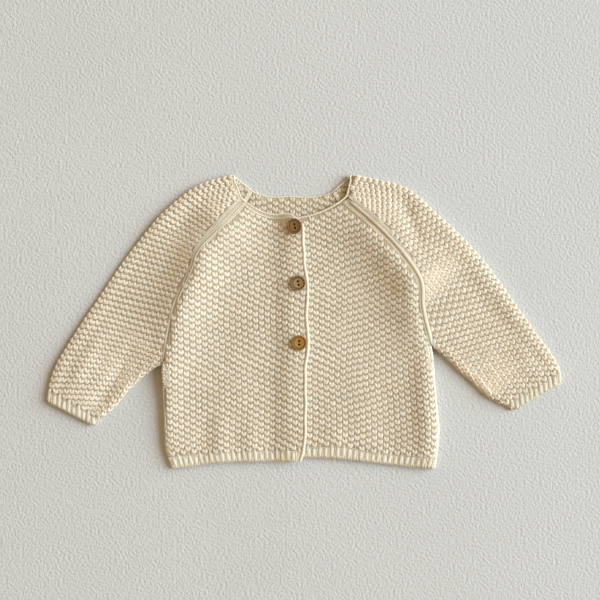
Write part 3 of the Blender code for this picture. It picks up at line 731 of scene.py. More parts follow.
CREASES = {
    "front_right": (
        Crease(-141.0, -84.0, 91.0, 56.0, 13.0, 2.6),
        Crease(-86.0, -124.0, 88.0, 26.0, 8.0, 1.5),
        Crease(-54.0, -128.0, 92.0, 30.0, 9.0, 1.3),
        Crease(-104.0, -118.0, 84.0, 30.0, 9.0, -0.9),
        Crease(-70.0, -60.0, 70.0, 60.0, 16.0, 0.8),
    ),
    "front_left": (
        Crease(124.0, -84.0, 91.0, 62.0, 11.0, 3.4),
        Crease(60.0, -95.0, 84.0, 50.0, 15.0, 0.9),
        Crease(30.0, -118.0, 95.0, 34.0, 10.0, 0.9),
        Crease(88.0, -116.0, 96.0, 36.0, 10.0, -0.9),
    ),
    "sleeve_right": (
        Crease(-196.0, -62.0, 57.0, 30.0, 6.0, -1.6),
        Crease(-222.0, -40.0, 62.0, 34.0, 7.0, 1.2),
        Crease(-184.0, 46.0, 57.0, 64.0, 19.0, -2.4),
        Crease(-118.0, 122.0, 34.0, 30.0, 6.0, 1.2),
        Crease(-141.0, 60.0, 57.0, 76.0, 23.0, -3.4),
        Crease(-121.0, 104.0, 54.0, 36.0, 14.0, -2.0),
    ),
    "sleeve_left": (
        Crease(106.0, 106.0, -68.0, 24.0, 7.0, -2.0),
        Crease(94.0, 92.0, -68.0, 26.0, 6.0, 0.5),
        Crease(188.0, 44.0, -49.5, 120.0, 22.0, 3.0),
        Crease(160.0, 72.0, -52.0, 36.0, 9.0, 0.8),
        Crease(190.0, 10.0, -50.0, 42.0, 9.0, -0.8),
        Crease(228.0, -42.0, -56.0, 30.0, 8.0, 0.9),
    ),
}


def raglan_ridge(side, piece):
    """Line, heights, width and power of the ridge that a raglan seam lies on."""
    seam = point_line(BODY[side], "side")
    places = np.linspace(UNDERARM, len(BODY[side]) - 1, RIDGE_POINTS)
    heights = np.interp(places, range(UNDERARM, len(BODY[side])), RIDGE_HEIGHTS[side])
    return np.array([seam(place) for place in places]), heights, *RIDGE_SHAPES[f"{piece}_{side}"]


# ---- materials --------------------------------------------------------------------------------------
class Nodes:
    """Short ways to add and link the nodes of a tree."""

    def __init__(self, tree):
        self.tree = tree

    def add(self, kind, links=None, **settings):
        node = self.tree.nodes.new(kind)
        for name, value in settings.items():
            setattr(node, name, value)
        for socket, value in (links or {}).items():
            if isinstance(value, bpy.types.NodeSocket):
                self.tree.links.new(value, node.inputs[socket])
            else:
                node.inputs[socket].default_value = value
        return node

    def math(self, operation, first, second=0.0, clamp=False):
        node = self.add("ShaderNodeMath", {0: first, 1: second}, operation=operation, use_clamp=clamp)
        return node.outputs[0]

    def plus(self, first, second, clamp=False):
        return self.math("ADD", first, second, clamp)

    def minus(self, first, second, clamp=False):
        return self.math("SUBTRACT", first, second, clamp)

    def times(self, first, second, clamp=False):
        return self.math("MULTIPLY", first, second, clamp)

    def mix(self, factor, first, second):
        node = self.add("ShaderNodeMix", {0: factor, 6: first, 7: second}, data_type="RGBA")
        return node.outputs[2]

    def noise(self, place, scale, detail=2.0):
        node = self.add("ShaderNodeTexNoise", {"Vector": place, "Scale": scale, "Detail": detail})
        return node.outputs["Fac"]


def shader_group(name, inputs, outputs):
    """An empty shader node group with named sockets, and the helper that fills it."""
    group = bpy.data.node_groups.new(name, "ShaderNodeTree")
    for socket, (kind, value) in inputs.items():
        made = group.interface.new_socket(socket, in_out="INPUT", socket_type=kind)
        if value is not None:
            made.default_value = value
    for socket, kind in outputs.items():
        group.interface.new_socket(socket, in_out="OUTPUT", socket_type=kind)
    nodes = Nodes(group)
    return nodes, nodes.add("NodeGroupInput").outputs, nodes.add("NodeGroupOutput").inputs


PLIES = 3                               # strands of the yarn, in one turn round it


def yarn_group():
    """Colour and relief of plied wool: strands wound round the yarn, with fibres and soft tone changes."""
    nodes, given, out = shader_group(
        "plied wool",
        {
            "Yarn": ("NodeSocketVector", None),
            "Place": ("NodeSocketVector", None),
            # Shade is a random tone for each stitch, and low for the stitches inside the neck as painted shade
            "Shade": ("NodeSocketFloat", 0.5),
            "Light": ("NodeSocketColor", (1, 1, 1, 1)),
            "Deep": ("NodeSocketColor", (0.5, 0.5, 0.5, 1)),
            "Twist": ("NodeSocketFloat", 0.9),
        },
        {"Color": "NodeSocketColor", "Height": "NodeSocketFloat"},
    )
    yarn = nodes.add("ShaderNodeSeparateXYZ", {0: given["Yarn"]}).outputs
    turns = nodes.plus(nodes.times(yarn["X"], given["Twist"]), nodes.times(yarn["Y"], PLIES))
    strand = nodes.math("ABSOLUTE", nodes.math("SINE", nodes.times(turns, 2 * math.pi)))
    fibre = nodes.noise(given["Place"], 1400.0, 3.0)
    tone = nodes.noise(given["Place"], 22.0)
    fleck = nodes.noise(given["Place"], 260.0)
    height = nodes.plus(nodes.times(strand, 0.6), nodes.times(fibre, 0.7))
    # painted shade: the strands' colour follows their relief, darker in the grooves between them
    mask = nodes.plus(nodes.times(strand, 0.30), nodes.times(given["Shade"], 0.35))
    mask = nodes.plus(mask, nodes.times(tone, 0.35))
    mask = nodes.plus(mask, nodes.times(fleck, 0.30), clamp=True)
    nodes.tree.links.new(nodes.mix(mask, given["Deep"], given["Light"]), out["Color"])
    nodes.tree.links.new(height, out["Height"])
    return nodes.tree


def ground_group():
    """Colour and relief of the ground of the knit between its stitches: crossing loops, painted darker where they sink,
    as shade.
    """
    nodes, given, out = shader_group(
        "knit ground",
        {
            "Place": ("NodeSocketVector", None),
            "Light": ("NodeSocketColor", (1, 1, 1, 1)),
            "Deep": ("NodeSocketColor", (0.5, 0.5, 0.5, 1)),
        },
        {"Color": "NodeSocketColor", "Height": "NodeSocketFloat"},
    )
    fibre = nodes.noise(given["Place"], 900.0, 4.0)
    waves = {"Vector": given["Place"], "Scale": 150.0, "Distortion": 3.0, "Detail": 1.0}
    loops = nodes.add("ShaderNodeTexWave", waves).outputs["Fac"]
    mask = nodes.plus(nodes.times(loops, 0.5), nodes.times(fibre, 0.5), clamp=True)
    nodes.tree.links.new(nodes.mix(mask, given["Deep"], given["Light"]), out["Color"])
    nodes.tree.links.new(nodes.plus(loops, fibre), out["Height"])
    return nodes.tree


def new_material(name):
    """A material, the helper that fills its nodes, and its Principled BSDF."""
    material = bpy.data.materials.new(name)
    material.use_nodes = True
    nodes = Nodes(material.node_tree)
    shader = material.node_tree.nodes["Principled BSDF"]
    return material, nodes, shader


def colour_and_relief(nodes, shader, group, strength, distance):
    """Links a group's colour and height to the shader."""
    relief = {"Height": group.outputs["Height"], "Strength": strength, "Distance": distance}
    bump = nodes.add("ShaderNodeBump", relief)
    nodes.tree.links.new(group.outputs["Color"], shader.inputs["Base Color"])
    nodes.tree.links.new(bump.outputs["Normal"], shader.inputs["Normal"])


def wool_finish(shader):
    """Matt, with a soft nap, and light that goes a little way into the yarn."""
    shader.inputs["Roughness"].default_value = 0.9
    shader.inputs["Specular IOR Level"].default_value = 0.15
    shader.inputs["Sheen Weight"].default_value = 0.25
    shader.inputs["Sheen Roughness"].default_value = 0.5
    shader.inputs["Sheen Tint"].default_value = (1.0, 0.97, 0.9, 1.0)
    shader.subsurface_method = "BURLEY"
    shader.inputs["Subsurface Weight"].default_value = 0.7
    shader.inputs["Subsurface Radius"].default_value = (1.0, 0.75, 0.5)
    shader.inputs["Subsurface Scale"].default_value = 0.004


def yarn_material(name, light, deep, twist=0.9):
    """Plied wool between two tones. twist is its turns in each millimetre."""
    material, nodes, shader = new_material(name)
    yarn = nodes.add("ShaderNodeUVMap", uv_map="yarn").outputs[0]
    shade = nodes.add("ShaderNodeAttribute", attribute_name="shade").outputs["Fac"]
    place = nodes.add("ShaderNodeTexCoord").outputs["Object"]
    links = {"Yarn": yarn, "Place": place, "Shade": shade, "Light": light, "Deep": deep, "Twist": twist}
    group = nodes.add("ShaderNodeGroup", links, node_tree=YARN)
    colour_and_relief(nodes, shader, group, 0.5, 0.0003)
    wool_finish(shader)
    return material


def ground_material(name, light, deep):
    """The ground of the knit between two tones."""
    material, nodes, shader = new_material(name)
    place = nodes.add("ShaderNodeTexCoord").outputs["Object"]
    links = {"Place": place, "Light": light, "Deep": deep}
    group = nodes.add("ShaderNodeGroup", links, node_tree=GROUND)
    colour_and_relief(nodes, shader, group, 0.6, 0.0005)
    wool_finish(shader)
    return material


YARN = yarn_group()
GROUND = ground_group()
CREAM_YARN = yarn_material("cream wool yarn", (0.84, 0.757, 0.628, 1), (0.68, 0.567, 0.40, 1))
EDGE_YARN = yarn_material("pale edging yarn", (0.77, 0.71, 0.60, 1), (0.65, 0.56, 0.42, 1), 0.35)
BAND_YARN = yarn_material("raglan band yarn", (0.78, 0.70, 0.57, 1), (0.62, 0.52, 0.37, 1), 0.35)
# Painted shade: the seam yarn is dark tan for the shade in the gaps of the raglan seam and of the rib joints.
SEAM_SHADE_YARN = yarn_material("seam linking yarn", (0.68, 0.57, 0.41, 1), (0.54, 0.42, 0.27, 1), 0.35)
RIB_YARN = yarn_material("rib yarn", (0.84, 0.765, 0.63, 1), (0.72, 0.615, 0.45, 1))
NECK_YARN = yarn_material("neck edging yarn", (0.82, 0.745, 0.62, 1), (0.68, 0.57, 0.41, 1), 0.35)
# Painted shade: each ground is coloured darker than its yarn for the shade that falls in the gaps between the stitches,
# the knit's ground much darker, the rib's a little.
KNIT_GAPS_PAINTED_SHADE = ground_material("cream knit ground", (0.645, 0.517, 0.35, 1), (0.49, 0.362, 0.22, 1))
RIB_GAPS_PAINTED_SHADE = ground_material("rib ground", (0.82, 0.71, 0.54, 1), (0.68, 0.55, 0.38, 1))


# ---- making meshes ----------------------------------------------------------------------------------
def new_object(name, data):
    """An object in the scene for the mesh, light or camera."""
    item = bpy.data.objects.new(name, data)
    bpy.context.scene.collection.objects.link(item)
    return item


def baked(item):
    """The object with its modifiers worked into its mesh."""
    bpy.context.view_layer.update()
    ready = item.evaluated_get(bpy.context.evaluated_depsgraph_get())
    mesh = bpy.data.meshes.new_from_object(ready)
    mesh.name = item.name
    item.modifiers.clear()
    item.data = mesh
    return item


def cloth(name, surface, material):
    """The thin wall of a piece of cloth, on its surface."""
    mesh = bpy.data.meshes.new(name)
    mesh.from_pydata((surface.points.reshape(-1, 3) * MM).tolist(), [], surface.faces())
    mesh.shade_smooth()
    mesh.materials.append(material)
    item = new_object(name, mesh)
    thicken = item.modifiers.new("wall", "SOLIDIFY")
    thicken.thickness = CLOTH_WALL * MM
    thicken.offset = 0.0
    thicken.use_even_offset = True
    item = baked(item)
    rest_on_floor(item.data)
    return item


def yarn_mesh(name, paths, sides, up=(0.0, 0.0, 1.0), flatness=1.0):
    """One mesh of closed lengths of yarn. Each path has rows of x, y, z and radius, in millimetres.

    flatness is the height of the yarn as a share of its width.
    """
    corners, faces, yarn = [], [], []
    for path in paths:
        path = np.array(path, float)
        centres, radii = path[:, :3], path[:, 3]
        lengths = steps_along(centres)
        base = len(corners)
        for k, centre in enumerate(centres):
            heading = centres[min(k + 1, len(path) - 1)] - centres[max(k - 1, 0)]
            heading /= np.linalg.norm(heading)
            side = np.cross(heading, up)
            side /= np.linalg.norm(side)
            top = flatness * np.cross(side, heading)
            for n in range(sides):
                angle = 2 * math.pi * n / sides
                corners.append(centre + radii[k] * (math.cos(angle) * side + math.sin(angle) * top))
        for k in range(len(path) - 1):
            low, high = base + k * sides, base + (k + 1) * sides
            for n in range(sides):
                after = (n + 1) % sides
                faces.append((low + n, high + n, high + after, low + after))
                yarn += [(lengths[k], n / sides), (lengths[k + 1], n / sides)]
                yarn += [(lengths[k + 1], (n + 1) / sides), (lengths[k], (n + 1) / sides)]
        last = base + (len(path) - 1) * sides
        faces += [tuple(range(base, base + sides)), tuple(range(last, last + sides))[::-1]]
        yarn += [(0.0, 0.0)] * (2 * sides)
    mesh = bpy.data.meshes.new(name)
    mesh.from_pydata([tuple(corner * MM) for corner in corners], [], faces)
    mesh.shade_smooth()
    layer = mesh.uv_layers.new(name="yarn")
    layer.data.foreach_set("uv", np.array(yarn, float).ravel())
    mesh.update()
    return mesh


def rest_on_floor(mesh):
    """Flattens the yarn that would reach into the floor."""
    places = np.empty(len(mesh.vertices) * 3)
    mesh.vertices.foreach_get("co", places)
    heights = places[2::3]
    limit = FLOOR_REST * MM
    low = heights < limit
    heights[low] = limit * np.exp(heights[low] / limit - 1.0)
    mesh.vertices.foreach_set("co", places)
    mesh.update()


def cords(name, paths, sides, material, up=(0.0, 0.0, 1.0), flatness=1.0):
    """Lengths of cord in one piece."""
    mesh = yarn_mesh(name, paths, sides, up, flatness)
    mesh.attributes.new("shade", "FLOAT", "POINT").data.foreach_set("value", [0.5] * len(mesh.vertices))
    mesh.materials.append(material)
    rest_on_floor(mesh)
    return new_object(name, mesh)


def stitch_tree():
    """Geometry Nodes that set one bend of yarn on each point, turned and sized by the point's attributes."""
    tree = bpy.data.node_groups.new("set stitches", "GeometryNodeTree")
    face = tree.interface
    face.new_socket("Geometry", in_out="INPUT", socket_type="NodeSocketGeometry")
    face.new_socket("Stitch", in_out="INPUT", socket_type="NodeSocketObject")
    face.new_socket("Yarn Swell", in_out="INPUT", socket_type="NodeSocketFloat").default_value = 1.0
    face.new_socket("Material", in_out="INPUT", socket_type="NodeSocketMaterial")
    face.new_socket("Geometry", in_out="OUTPUT", socket_type="NodeSocketGeometry")
    nodes = Nodes(tree)
    given = nodes.add("NodeGroupInput").outputs
    stitch = nodes.add("GeometryNodeObjectInfo", {"Object": given["Stitch"]}).outputs["Geometry"]
    named = "GeometryNodeInputNamedAttribute"
    turn = nodes.add(named, {"Name": "turn"}, data_type="QUATERNION").outputs[0]
    size = nodes.add(named, {"Name": "size"}, data_type="FLOAT_VECTOR").outputs[0]
    scaled = nodes.add("ShaderNodeVectorMath", {0: size, "Scale": given["Yarn Swell"]}, operation="SCALE")
    points = nodes.add("GeometryNodeMeshToPoints", {"Mesh": given["Geometry"]}).outputs[0]
    placed = nodes.add(
        "GeometryNodeInstanceOnPoints",
        {"Points": points, "Instance": stitch, "Rotation": turn, "Scale": scaled.outputs[0]},
    ).outputs[0]
    real = nodes.add("GeometryNodeRealizeInstances", {"Geometry": placed}).outputs[0]
    coloured = {"Geometry": real, "Material": given["Material"]}
    done = nodes.add("GeometryNodeSetMaterial", coloured).outputs[0]
    nodes.add("NodeGroupOutput", {"Geometry": done})
    return tree


def stitch_object(name, path, sides):
    """One stitch for the stitch tree to copy. It isn't in the scene itself."""
    return bpy.data.objects.new(name, yarn_mesh(name, [path], sides))


BRICK_PATH = (                          # x, y, z and radius: down one leg, across and up the other
    (-1.3, 2.5, -1.0, 0.9), (-1.42, 1.5, -0.25, 1.2), (-1.25, 0.4, 0.05, 1.5), (-0.65, -0.75, 0.15, 1.65),
    (0.65, -0.75, 0.15, 1.65), (1.25, 0.4, 0.05, 1.5), (1.42, 1.5, -0.25, 1.2), (1.3, 2.5, -1.0, 0.9),
)
BAND_PATH = (
    (-1.0, 1.9, -0.5, 0.55), (-0.85, 0.8, 0.15, 0.8), (-0.35, -0.95, 0.3, 0.8),
    (0.35, -0.95, 0.3, 0.8), (0.85, 0.8, 0.15, 0.8), (1.0, 1.9, -0.5, 0.55),
)
STITCH_TREE = stitch_tree()
BRICK_STITCH = stitch_object("brick stitch", BRICK_PATH, 6)
BAND_STITCH = stitch_object("band stitch", BAND_PATH, 5)
YARN_SWELL = 1.09                       # how much larger than its path each stitch is
RANDOM = np.random.default_rng(11)


def set_stitches(name, stitch, stitches, material, shades):
    """One mesh of all the stitches of a piece.

    Each of stitches is its place, the direction of its column, the outward direction and its size.
    """
    mesh = bpy.data.meshes.new(name)
    mesh.from_pydata([tuple(place * MM) for place, _, _, _ in stitches], [], [])
    turns, sizes = [], []
    for _, along, out, size in stitches:
        out = Vector(out).normalized()
        along = Vector(along)
        along = (along - out * along.dot(out)).normalized()
        side = along.cross(out)
        turns += list(Matrix((side, along, out)).transposed().to_quaternion())
        sizes += list(size)
    mesh.attributes.new("turn", "QUATERNION", "POINT").data.foreach_set("value", turns)
    mesh.attributes.new("size", "FLOAT_VECTOR", "POINT").data.foreach_set("vector", sizes)
    # a random tone for each stitch, kept low as painted shade for the stitches inside the neck
    shade = RANDOM.uniform(*shades, len(stitches))
    mesh.attributes.new("shade", "FLOAT", "POINT").data.foreach_set("value", shade)
    item = new_object(name, mesh)
    modifier = item.modifiers.new("stitches", "NODES")
    modifier.node_group = STITCH_TREE
    settings = {"Stitch": stitch, "Yarn Swell": YARN_SWELL, "Material": material}
    for socket in STITCH_TREE.interface.items_tree:
        if socket.name in settings:
            modifier[socket.identifier] = settings[socket.name]
    item = baked(item)
    for attribute in ("turn", "size"):
        if attribute in item.data.attributes:
            item.data.attributes.remove(item.data.attributes[attribute])
    item.data.shade_smooth()
    rest_on_floor(item.data)
    return item


def uneven(share=0.05):
    """Size of a stitch, a little different each time."""
    across, along, high = 1.0 + share * RANDOM.uniform(-1.0, 1.0, 3)
    return STITCH_WIDTH * across, STITCH_LENGTH * along, STITCH_FLATNESS * high


# ---- where the stitches go --------------------------------------------------------------------------
TINY = 1e-9
RAY_HEIGHT = 60.0                       # above all of the cloth
DOWN = np.array((0.0, 0.0, -1.0))
COUNTING_HEIGHT = -90.0                 # the columns of stitches are counted across here
STAGGER = 0.5                           # every other column starts this many rows higher
FIRST_ROW = 0.3                         # rows from a rib up to the first stitches of a panel
FIRST_ARM_ROW = 0.35                    # the same on a sleeve
FRONT_TOP = 130.0                       # no front reaches higher than this
BACK_TOP = 132.0
MOST_STRETCH = 1.5
LEAST_FACING = 0.5                      # stitches are set from above where the cloth faces up this much
LEAN = 0.06                             # greatest random lean of a front's stitch, and of a back's
BACK_LEAN = 0.05


def seen_from_above(tree, x, y):
    """Point and outward direction of the cloth that shows at a place from above, or None for both."""
    return tree.ray_cast(Vector((x, y, RAY_HEIGHT)), Vector(DOWN))[:2]


def distance_to(line, x, y):
    """Least distance from a point to a line of x, y points."""
    line = np.array(line)[:, :2]
    start, end = line[:-1], line[1:]
    step = end - start
    ahead = (x - start[:, 0]) * step[:, 0] + (y - start[:, 1]) * step[:, 1]
    share = ahead / ((step**2).sum(axis=1) + TINY)
    nearest = start + np.clip(share, 0.0, 1.0)[:, None] * step
    return float(np.hypot(nearest[:, 0] - x, nearest[:, 1] - y).min())


def drift(x, y):
    """Slow wander of the columns and rows, as in hand-finished knitting."""
    return (
        0.7 * math.sin(0.045 * y + 0.021 * x) + 0.35 * math.sin(0.11 * y - 0.04 * x + 1.3),
        0.8 * math.sin(0.038 * x + 0.5) + 0.4 * math.sin(0.09 * x + 0.05 * y),
    )


def over_height(points):
    """The x of a line of points over any y. The line's y rises."""
    points = np.array(points)
    return lambda y: float(np.interp(y, points[:, 1], points[:, 0]))


def aside(share, x, y):
    """Drift of a column sideways, the less the nearer it is to an edge of its panel."""
    return 4.0 * share * (1.0 - share) * drift(x, y)[0]


def brick_columns(near, far):
    """Share of the way between two edges of each column of stitches."""
    count = round(abs(far(COUNTING_HEIGHT) - near(COUNTING_HEIGHT)) / COLUMN_PITCH)
    return [(number + 0.5) / count for number in range(count)]


def brick_places(near, far, low_line, high_y):
    """Brick-laid places between two edges: even columns, and rows that start on the rib's line."""
    for number, share in enumerate(brick_columns(near, far)):
        x = near(COUNTING_HEIGHT) + share * (far(COUNTING_HEIGHT) - near(COUNTING_HEIGHT))
        y = low_line(x) + ROW_PITCH * (FIRST_ROW + STAGGER * (number % 2))
        while y < high_y:
            x = near(y) + share * (far(y) - near(y))
            yield x + aside(share, x, y), y + drift(x, y)[1]
            y += ROW_PITCH


def slope_size(out):
    """How much a stitch set from above stretches across and along where the cloth slopes."""
    across = math.hypot(1.0, out[0] / out[2])
    along = math.hypot(1.0, out[1] / out[2])
    return min(across, MOST_STRETCH), min(along, MOST_STRETCH), 1.0


def set_from_above(tree, x, y):
    """A stitch on a surface's upper side at a place seen from above, if there is cloth that faces up."""
    hit, out = seen_from_above(tree, x, y)
    if hit is None:
        return []
    out = out if out.z > 0 else -out
    if out.z < LEAST_FACING:
        return []
    size = [own * slope for own, slope in zip(uneven(), slope_size(out))]
    return [(np.array(hit + out * STAND), (RANDOM.uniform(-LEAN, LEAN), 1.0, 0.0), out, size)]


def panel_stitches(surface, edges, low_line, keep):
    """Stitches on the upper side of a front, wherever keep says that there is room for one."""
    tree = surface.tree()
    stitches = []
    for x, y in brick_places(*edges, low_line, FRONT_TOP):
        if keep(x, y):
            stitches += set_from_above(tree, x, y)
    return stitches


NEARBY = 0.7                            # rows or millimetres to each side that give a direction
RESTING = -0.8                          # a stitch lies on the floor where its outward z is below this
ROW_AFTER = 1.001                       # keeps a place just before the last row, which has none after it


def surface_frame(surface, place, distance, datum, side):
    """Point, column direction and outward direction on a surface."""
    low, high = surface.reach(place, datum, 0), surface.reach(place, datum, -1)
    distance = min(max(distance, low), high)
    point = surface.at(place, distance, datum)
    after = surface.at(min(place + NEARBY, len(surface.points) - ROW_AFTER), distance, datum)
    before = surface.at(max(place - NEARBY, 0.0), distance, datum)
    beside = surface.at(place, distance + NEARBY, datum) - surface.at(place, distance - NEARBY, datum)
    along = after - before
    out = np.cross(beside, along) * side
    return point, along, out / np.linalg.norm(out)


def flattened(size):
    """Size of a stitch that is pressed flat on the underside."""
    return size[0], size[1], UNDER_FLATNESS * size[2]


def pressed(point, along, out, size):
    """A stitch on a surface, flattened where it lies on the floor."""
    if out[2] > RESTING:
        return point + out * STAND, along, out, size
    return point + out * UNDER_STAND, along, out, flattened(size)


ARM_COLUMNS = range(-22, 23)            # of stitches round a sleeve, counted from its folded top edge
ARM_MARGIN = 0.8
SEAM_MARGINS = ((41.0, 0.6), (52.0, 1.4), (62.0, 3.4))  # row of the surface, and margin beside the seam
RIM_ROWS = 0.3                          # rows of the surface that the neck edging covers


def sleeve_stitches(surface, side):
    """Brick-laid stitches all round a sleeve, in columns that run beside its folded top edge."""
    lengths = surface.places_along(FOLD_COLUMN)
    arm_rows = len(ARMS[side]) * HALVINGS
    last_row = len(lengths) - 1
    stitches = []
    for number in ARM_COLUMNS:
        distance = (number + 0.5) * ARM_COLUMN_PITCH
        along = ARM_ROW_PITCH * (FIRST_ARM_ROW + STAGGER * (number % 2))
        while along < lengths[-1] - CAP_LEAN * min(distance, 0.0):
            place = float(np.interp(along, lengths, range(len(lengths))))
            on_cap = smooth_step((place - arm_rows) / (last_row - arm_rows))
            lean = CAP_LEAN * on_cap * min(distance, 0.0)
            place = float(np.interp(along + lean, lengths, range(len(lengths))))
            along += ARM_ROW_PITCH
            margin = ARM_MARGIN if place < arm_rows else float(np.interp(place, *zip(*SEAM_MARGINS)))
            front, back = surface.reach(place, FOLD_COLUMN, 0), surface.reach(place, FOLD_COLUMN, -1)
            if not front + margin < distance < back - ARM_MARGIN or place > last_row - RIM_ROWS:
                continue
            point, heading, out = surface_frame(surface, place, distance, FOLD_COLUMN, OUTWARD[side])
            stitches.append(pressed(point, heading, out, uneven()))
    return stitches


SHOULDER_COLUMNS = 4                    # of stitches that show inside a sleeve, and their rows
SHOULDER_ROWS = 5
SHOULDER_RIM = 1.6                      # from the neck's rim to the first row
SHOULDER_INSET = 3.4                    # from the last inner cord to the first column


def shoulder_stitches(surface, side):
    """Stitches inside a sleeve's back part, where the neck opening shows it."""
    last = len(surface.points) - 1
    row_step = surface.places_along(-1)[-1] - surface.places_along(-1)[-2]
    stitches = []
    for number in range(SHOULDER_COLUMNS):
        for row in range(SHOULDER_ROWS):
            place = last - (SHOULDER_RIM + ROW_PITCH * (row + STAGGER * (number % 2))) / row_step
            distance = -(INNER_CORDS[-1] + SHOULDER_INSET + ARM_COLUMN_PITCH * number)
            point, heading, out = surface_frame(surface, place, distance, -1, OUTWARD[side])
            stitches.append((point - out * STAND, heading, -out, uneven()))
    return stitches


def on_line(place, lengths, points):
    """Point, or points, of a line at a length along it."""
    return np.array([np.interp(place, lengths, points[:, axis]) for axis in range(3)])


CHAIN_HALF = 0.5                        # millimetres to each side that give the direction of a chain
CHAIN_SHARE = 0.04                      # how much the sizes of its stitches differ
POINTS_PER_ROW = 1.5                    # of the lines that chains and cords run on


def chain(points, outs):
    """Small stitches one after another along a line of points."""
    points = np.array(points)
    outs = np.array(outs)
    lengths = steps_along(points)
    stitches = []
    for length in np.arange(BAND_PITCH / 2, lengths[-1], BAND_PITCH):
        ahead = on_line(length + CHAIN_HALF, lengths, points)
        behind = on_line(length - CHAIN_HALF, lengths, points)
        place, out = on_line(length, lengths, points), on_line(length, lengths, outs)
        stitches.append((place, ahead - behind, out, uneven(share=CHAIN_SHARE)))
    return stitches


def band(surface, side, datum, distance, first, last, stand):
    """A chain of small stitches along a surface, at a distance from one of its columns."""
    points, outs = [], []
    for place in np.linspace(first, last, int((last - first) * POINTS_PER_ROW) + 2):
        point, _, out = surface_frame(surface, place, distance, datum, side)
        points.append(point + out * stand)
        outs.append(out)
    return chain(points, outs)


# ---- finishing pieces -------------------------------------------------------------------------------
def settle(item, slot, *nodes):
    """Gives a piece its body and its slot, and the nodes that it is drawn in place of."""
    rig.ride(item, "root")
    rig.slot(item, slot)
    if nodes:
        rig.replaces(item, *nodes)
    return item


def add_stitches(sheet, name, stitch, stitches, shades=(0.0, 1.0)):
    """Stitches that belong to a sheet of cloth."""
    trims[sheet].append(settle(set_stitches(name, stitch, stitches, CREAM_YARN, shades), "knit"))


def add_cords(sheet, name, paths, material, slot, sides=8, flatness=1.0):
    """Lengths of cord that belong to a sheet of cloth."""
    trims[sheet].append(settle(cords(name, paths, sides, material, flatness=flatness), slot))


# ---- the surfaces and their cloth -------------------------------------------------------------------
surfaces = {"back": Surface(back_rows()), "hem_rib_back": Surface(back_rib_rows())}
for side in SIDES:
    for piece, rows in (("front", front_rows(side)), ("sleeve", sleeve_rows(side))):
        name = f"{piece}_{side}"
        bows = EDGE_BOWS if name == "front_right" else None
        surfaces[name] = Surface(rows, CREASES[name], raglan_ridge(side, piece), bows)
    bows = EDGE_BOWS if side == "right" else None
    surfaces["hem_rib_front_" + side] = Surface(front_rib_rows(side), CREASES["front_" + side], bows=bows)
    surfaces["cuff_" + side] = Surface(cuff_rows(side), CREASES["sleeve_" + side])

pieces, trims = {}, {}
for name, surface in surfaces.items():
    slot = "rib_knit" if "rib" in name or "cuff" in name else "knit"
    # each cloth takes a ground painted darker than its yarn, as the shade between its stitches
    ground = RIB_GAPS_PAINTED_SHADE if slot == "rib_knit" else KNIT_GAPS_PAINTED_SHADE
    pieces[name] = settle(cloth(name + "_cloth", surface, ground), slot, name)
    trims[name] = []

# ---- where the brick-laid stitches end --------------------------------------------------------------
FLANK_STRIP = 2.8                       # plain strip between a side seam and the brick-laid columns
BACK_STRIP = 5.0                        # the same on the back
OPENING_INSET = 0.2                     # from the right front's edge in to where its columns end
UNDER_LAP = 3.0                         # how far the under front's columns go on below the upper front


def low_rows(side):
    """The part of a front's surface below the arm."""
    return surfaces["front_" + side].points[:UNDERARM * HALVINGS + 1]


def column_edges(side):
    """The two lines between which a front's columns of stitches are spread, x over height."""
    flank = over_height(low_rows(side)[:, -1])
    opening = over_height(surfaces["front_right"].points[:, 0])
    if side == "right":
        return lambda y: flank(y) + FLANK_STRIP, lambda y: opening(y) - OPENING_INSET
    return lambda y: opening(y) - UNDER_LAP, lambda y: flank(y) - FLANK_STRIP


def back_edges():
    """The same two lines on the back."""
    right, left = (over_height(surfaces["back"].points[:UNDERARM * HALVINGS + 1, k]) for k in (0, -1))
    return lambda y: right(y) + BACK_STRIP, lambda y: left(y) - BACK_STRIP


RAGLAN_MARGINS = {                      # height, and least distance of the stitches from a raglan's edge
    "right": ((48.0, 2.2), (74.0, 3.6), (92.0, 5.2), (108.0, 7.6)),
    "left": ((4.0, 2.6), (34.0, 4.6), (74.0, 5.4), (98.0, 7.4)),
}
NECK_MARGIN = 1.2
DOUBLE_EDGE = 2.6                       # from the neck's cord to the second one on the right front
PLAIN_CORNER = (-20.0, 10.0, 3.0)       # x, half width and depth of the plain patch above the top button
RIB_MARGIN = 0.4


def front_room(side, surface):
    """Test for the places on a front that the brick-laid stitches fill."""
    under = UNDERARM * HALVINGS
    raglan, neck, rib = surface.points[under:, -1], surface.points[-1], surface.points[0]
    heights, margins = zip(*RAGLAN_MARGINS[side])

    def neck_margin(x):
        if side == "left":
            return NECK_MARGIN
        middle, half, depth = PLAIN_CORNER
        return NECK_MARGIN + DOUBLE_EDGE + depth * math.exp(-(((x - middle) / half) ** 4))

    def room(x, y):
        return (
            distance_to(raglan, x, y) > np.interp(y, heights, margins)
            and distance_to(neck, x, y) > neck_margin(x)
            and distance_to(rib, x, y) > RIB_MARGIN
        )

    return room


INSIDE_NECK = ((-60.0, 40.0), 98.0)     # x from and to, and lowest y, of the back's inside that shows
INSIDE_ROWS = 6
# painted shade: the stitches inside the neck take only the darker tones, for the shade inside the opening
INSIDE_PAINTED_SHADE = (-0.9, 0.0)
INSIDE_RIM = 1.9                        # from the neck's rim to the first stitches inside
RIM_MARGIN = 1.2                        # least distance of the stitches outside from the back's rim
UP = (0.0, 0.0, 1.0)


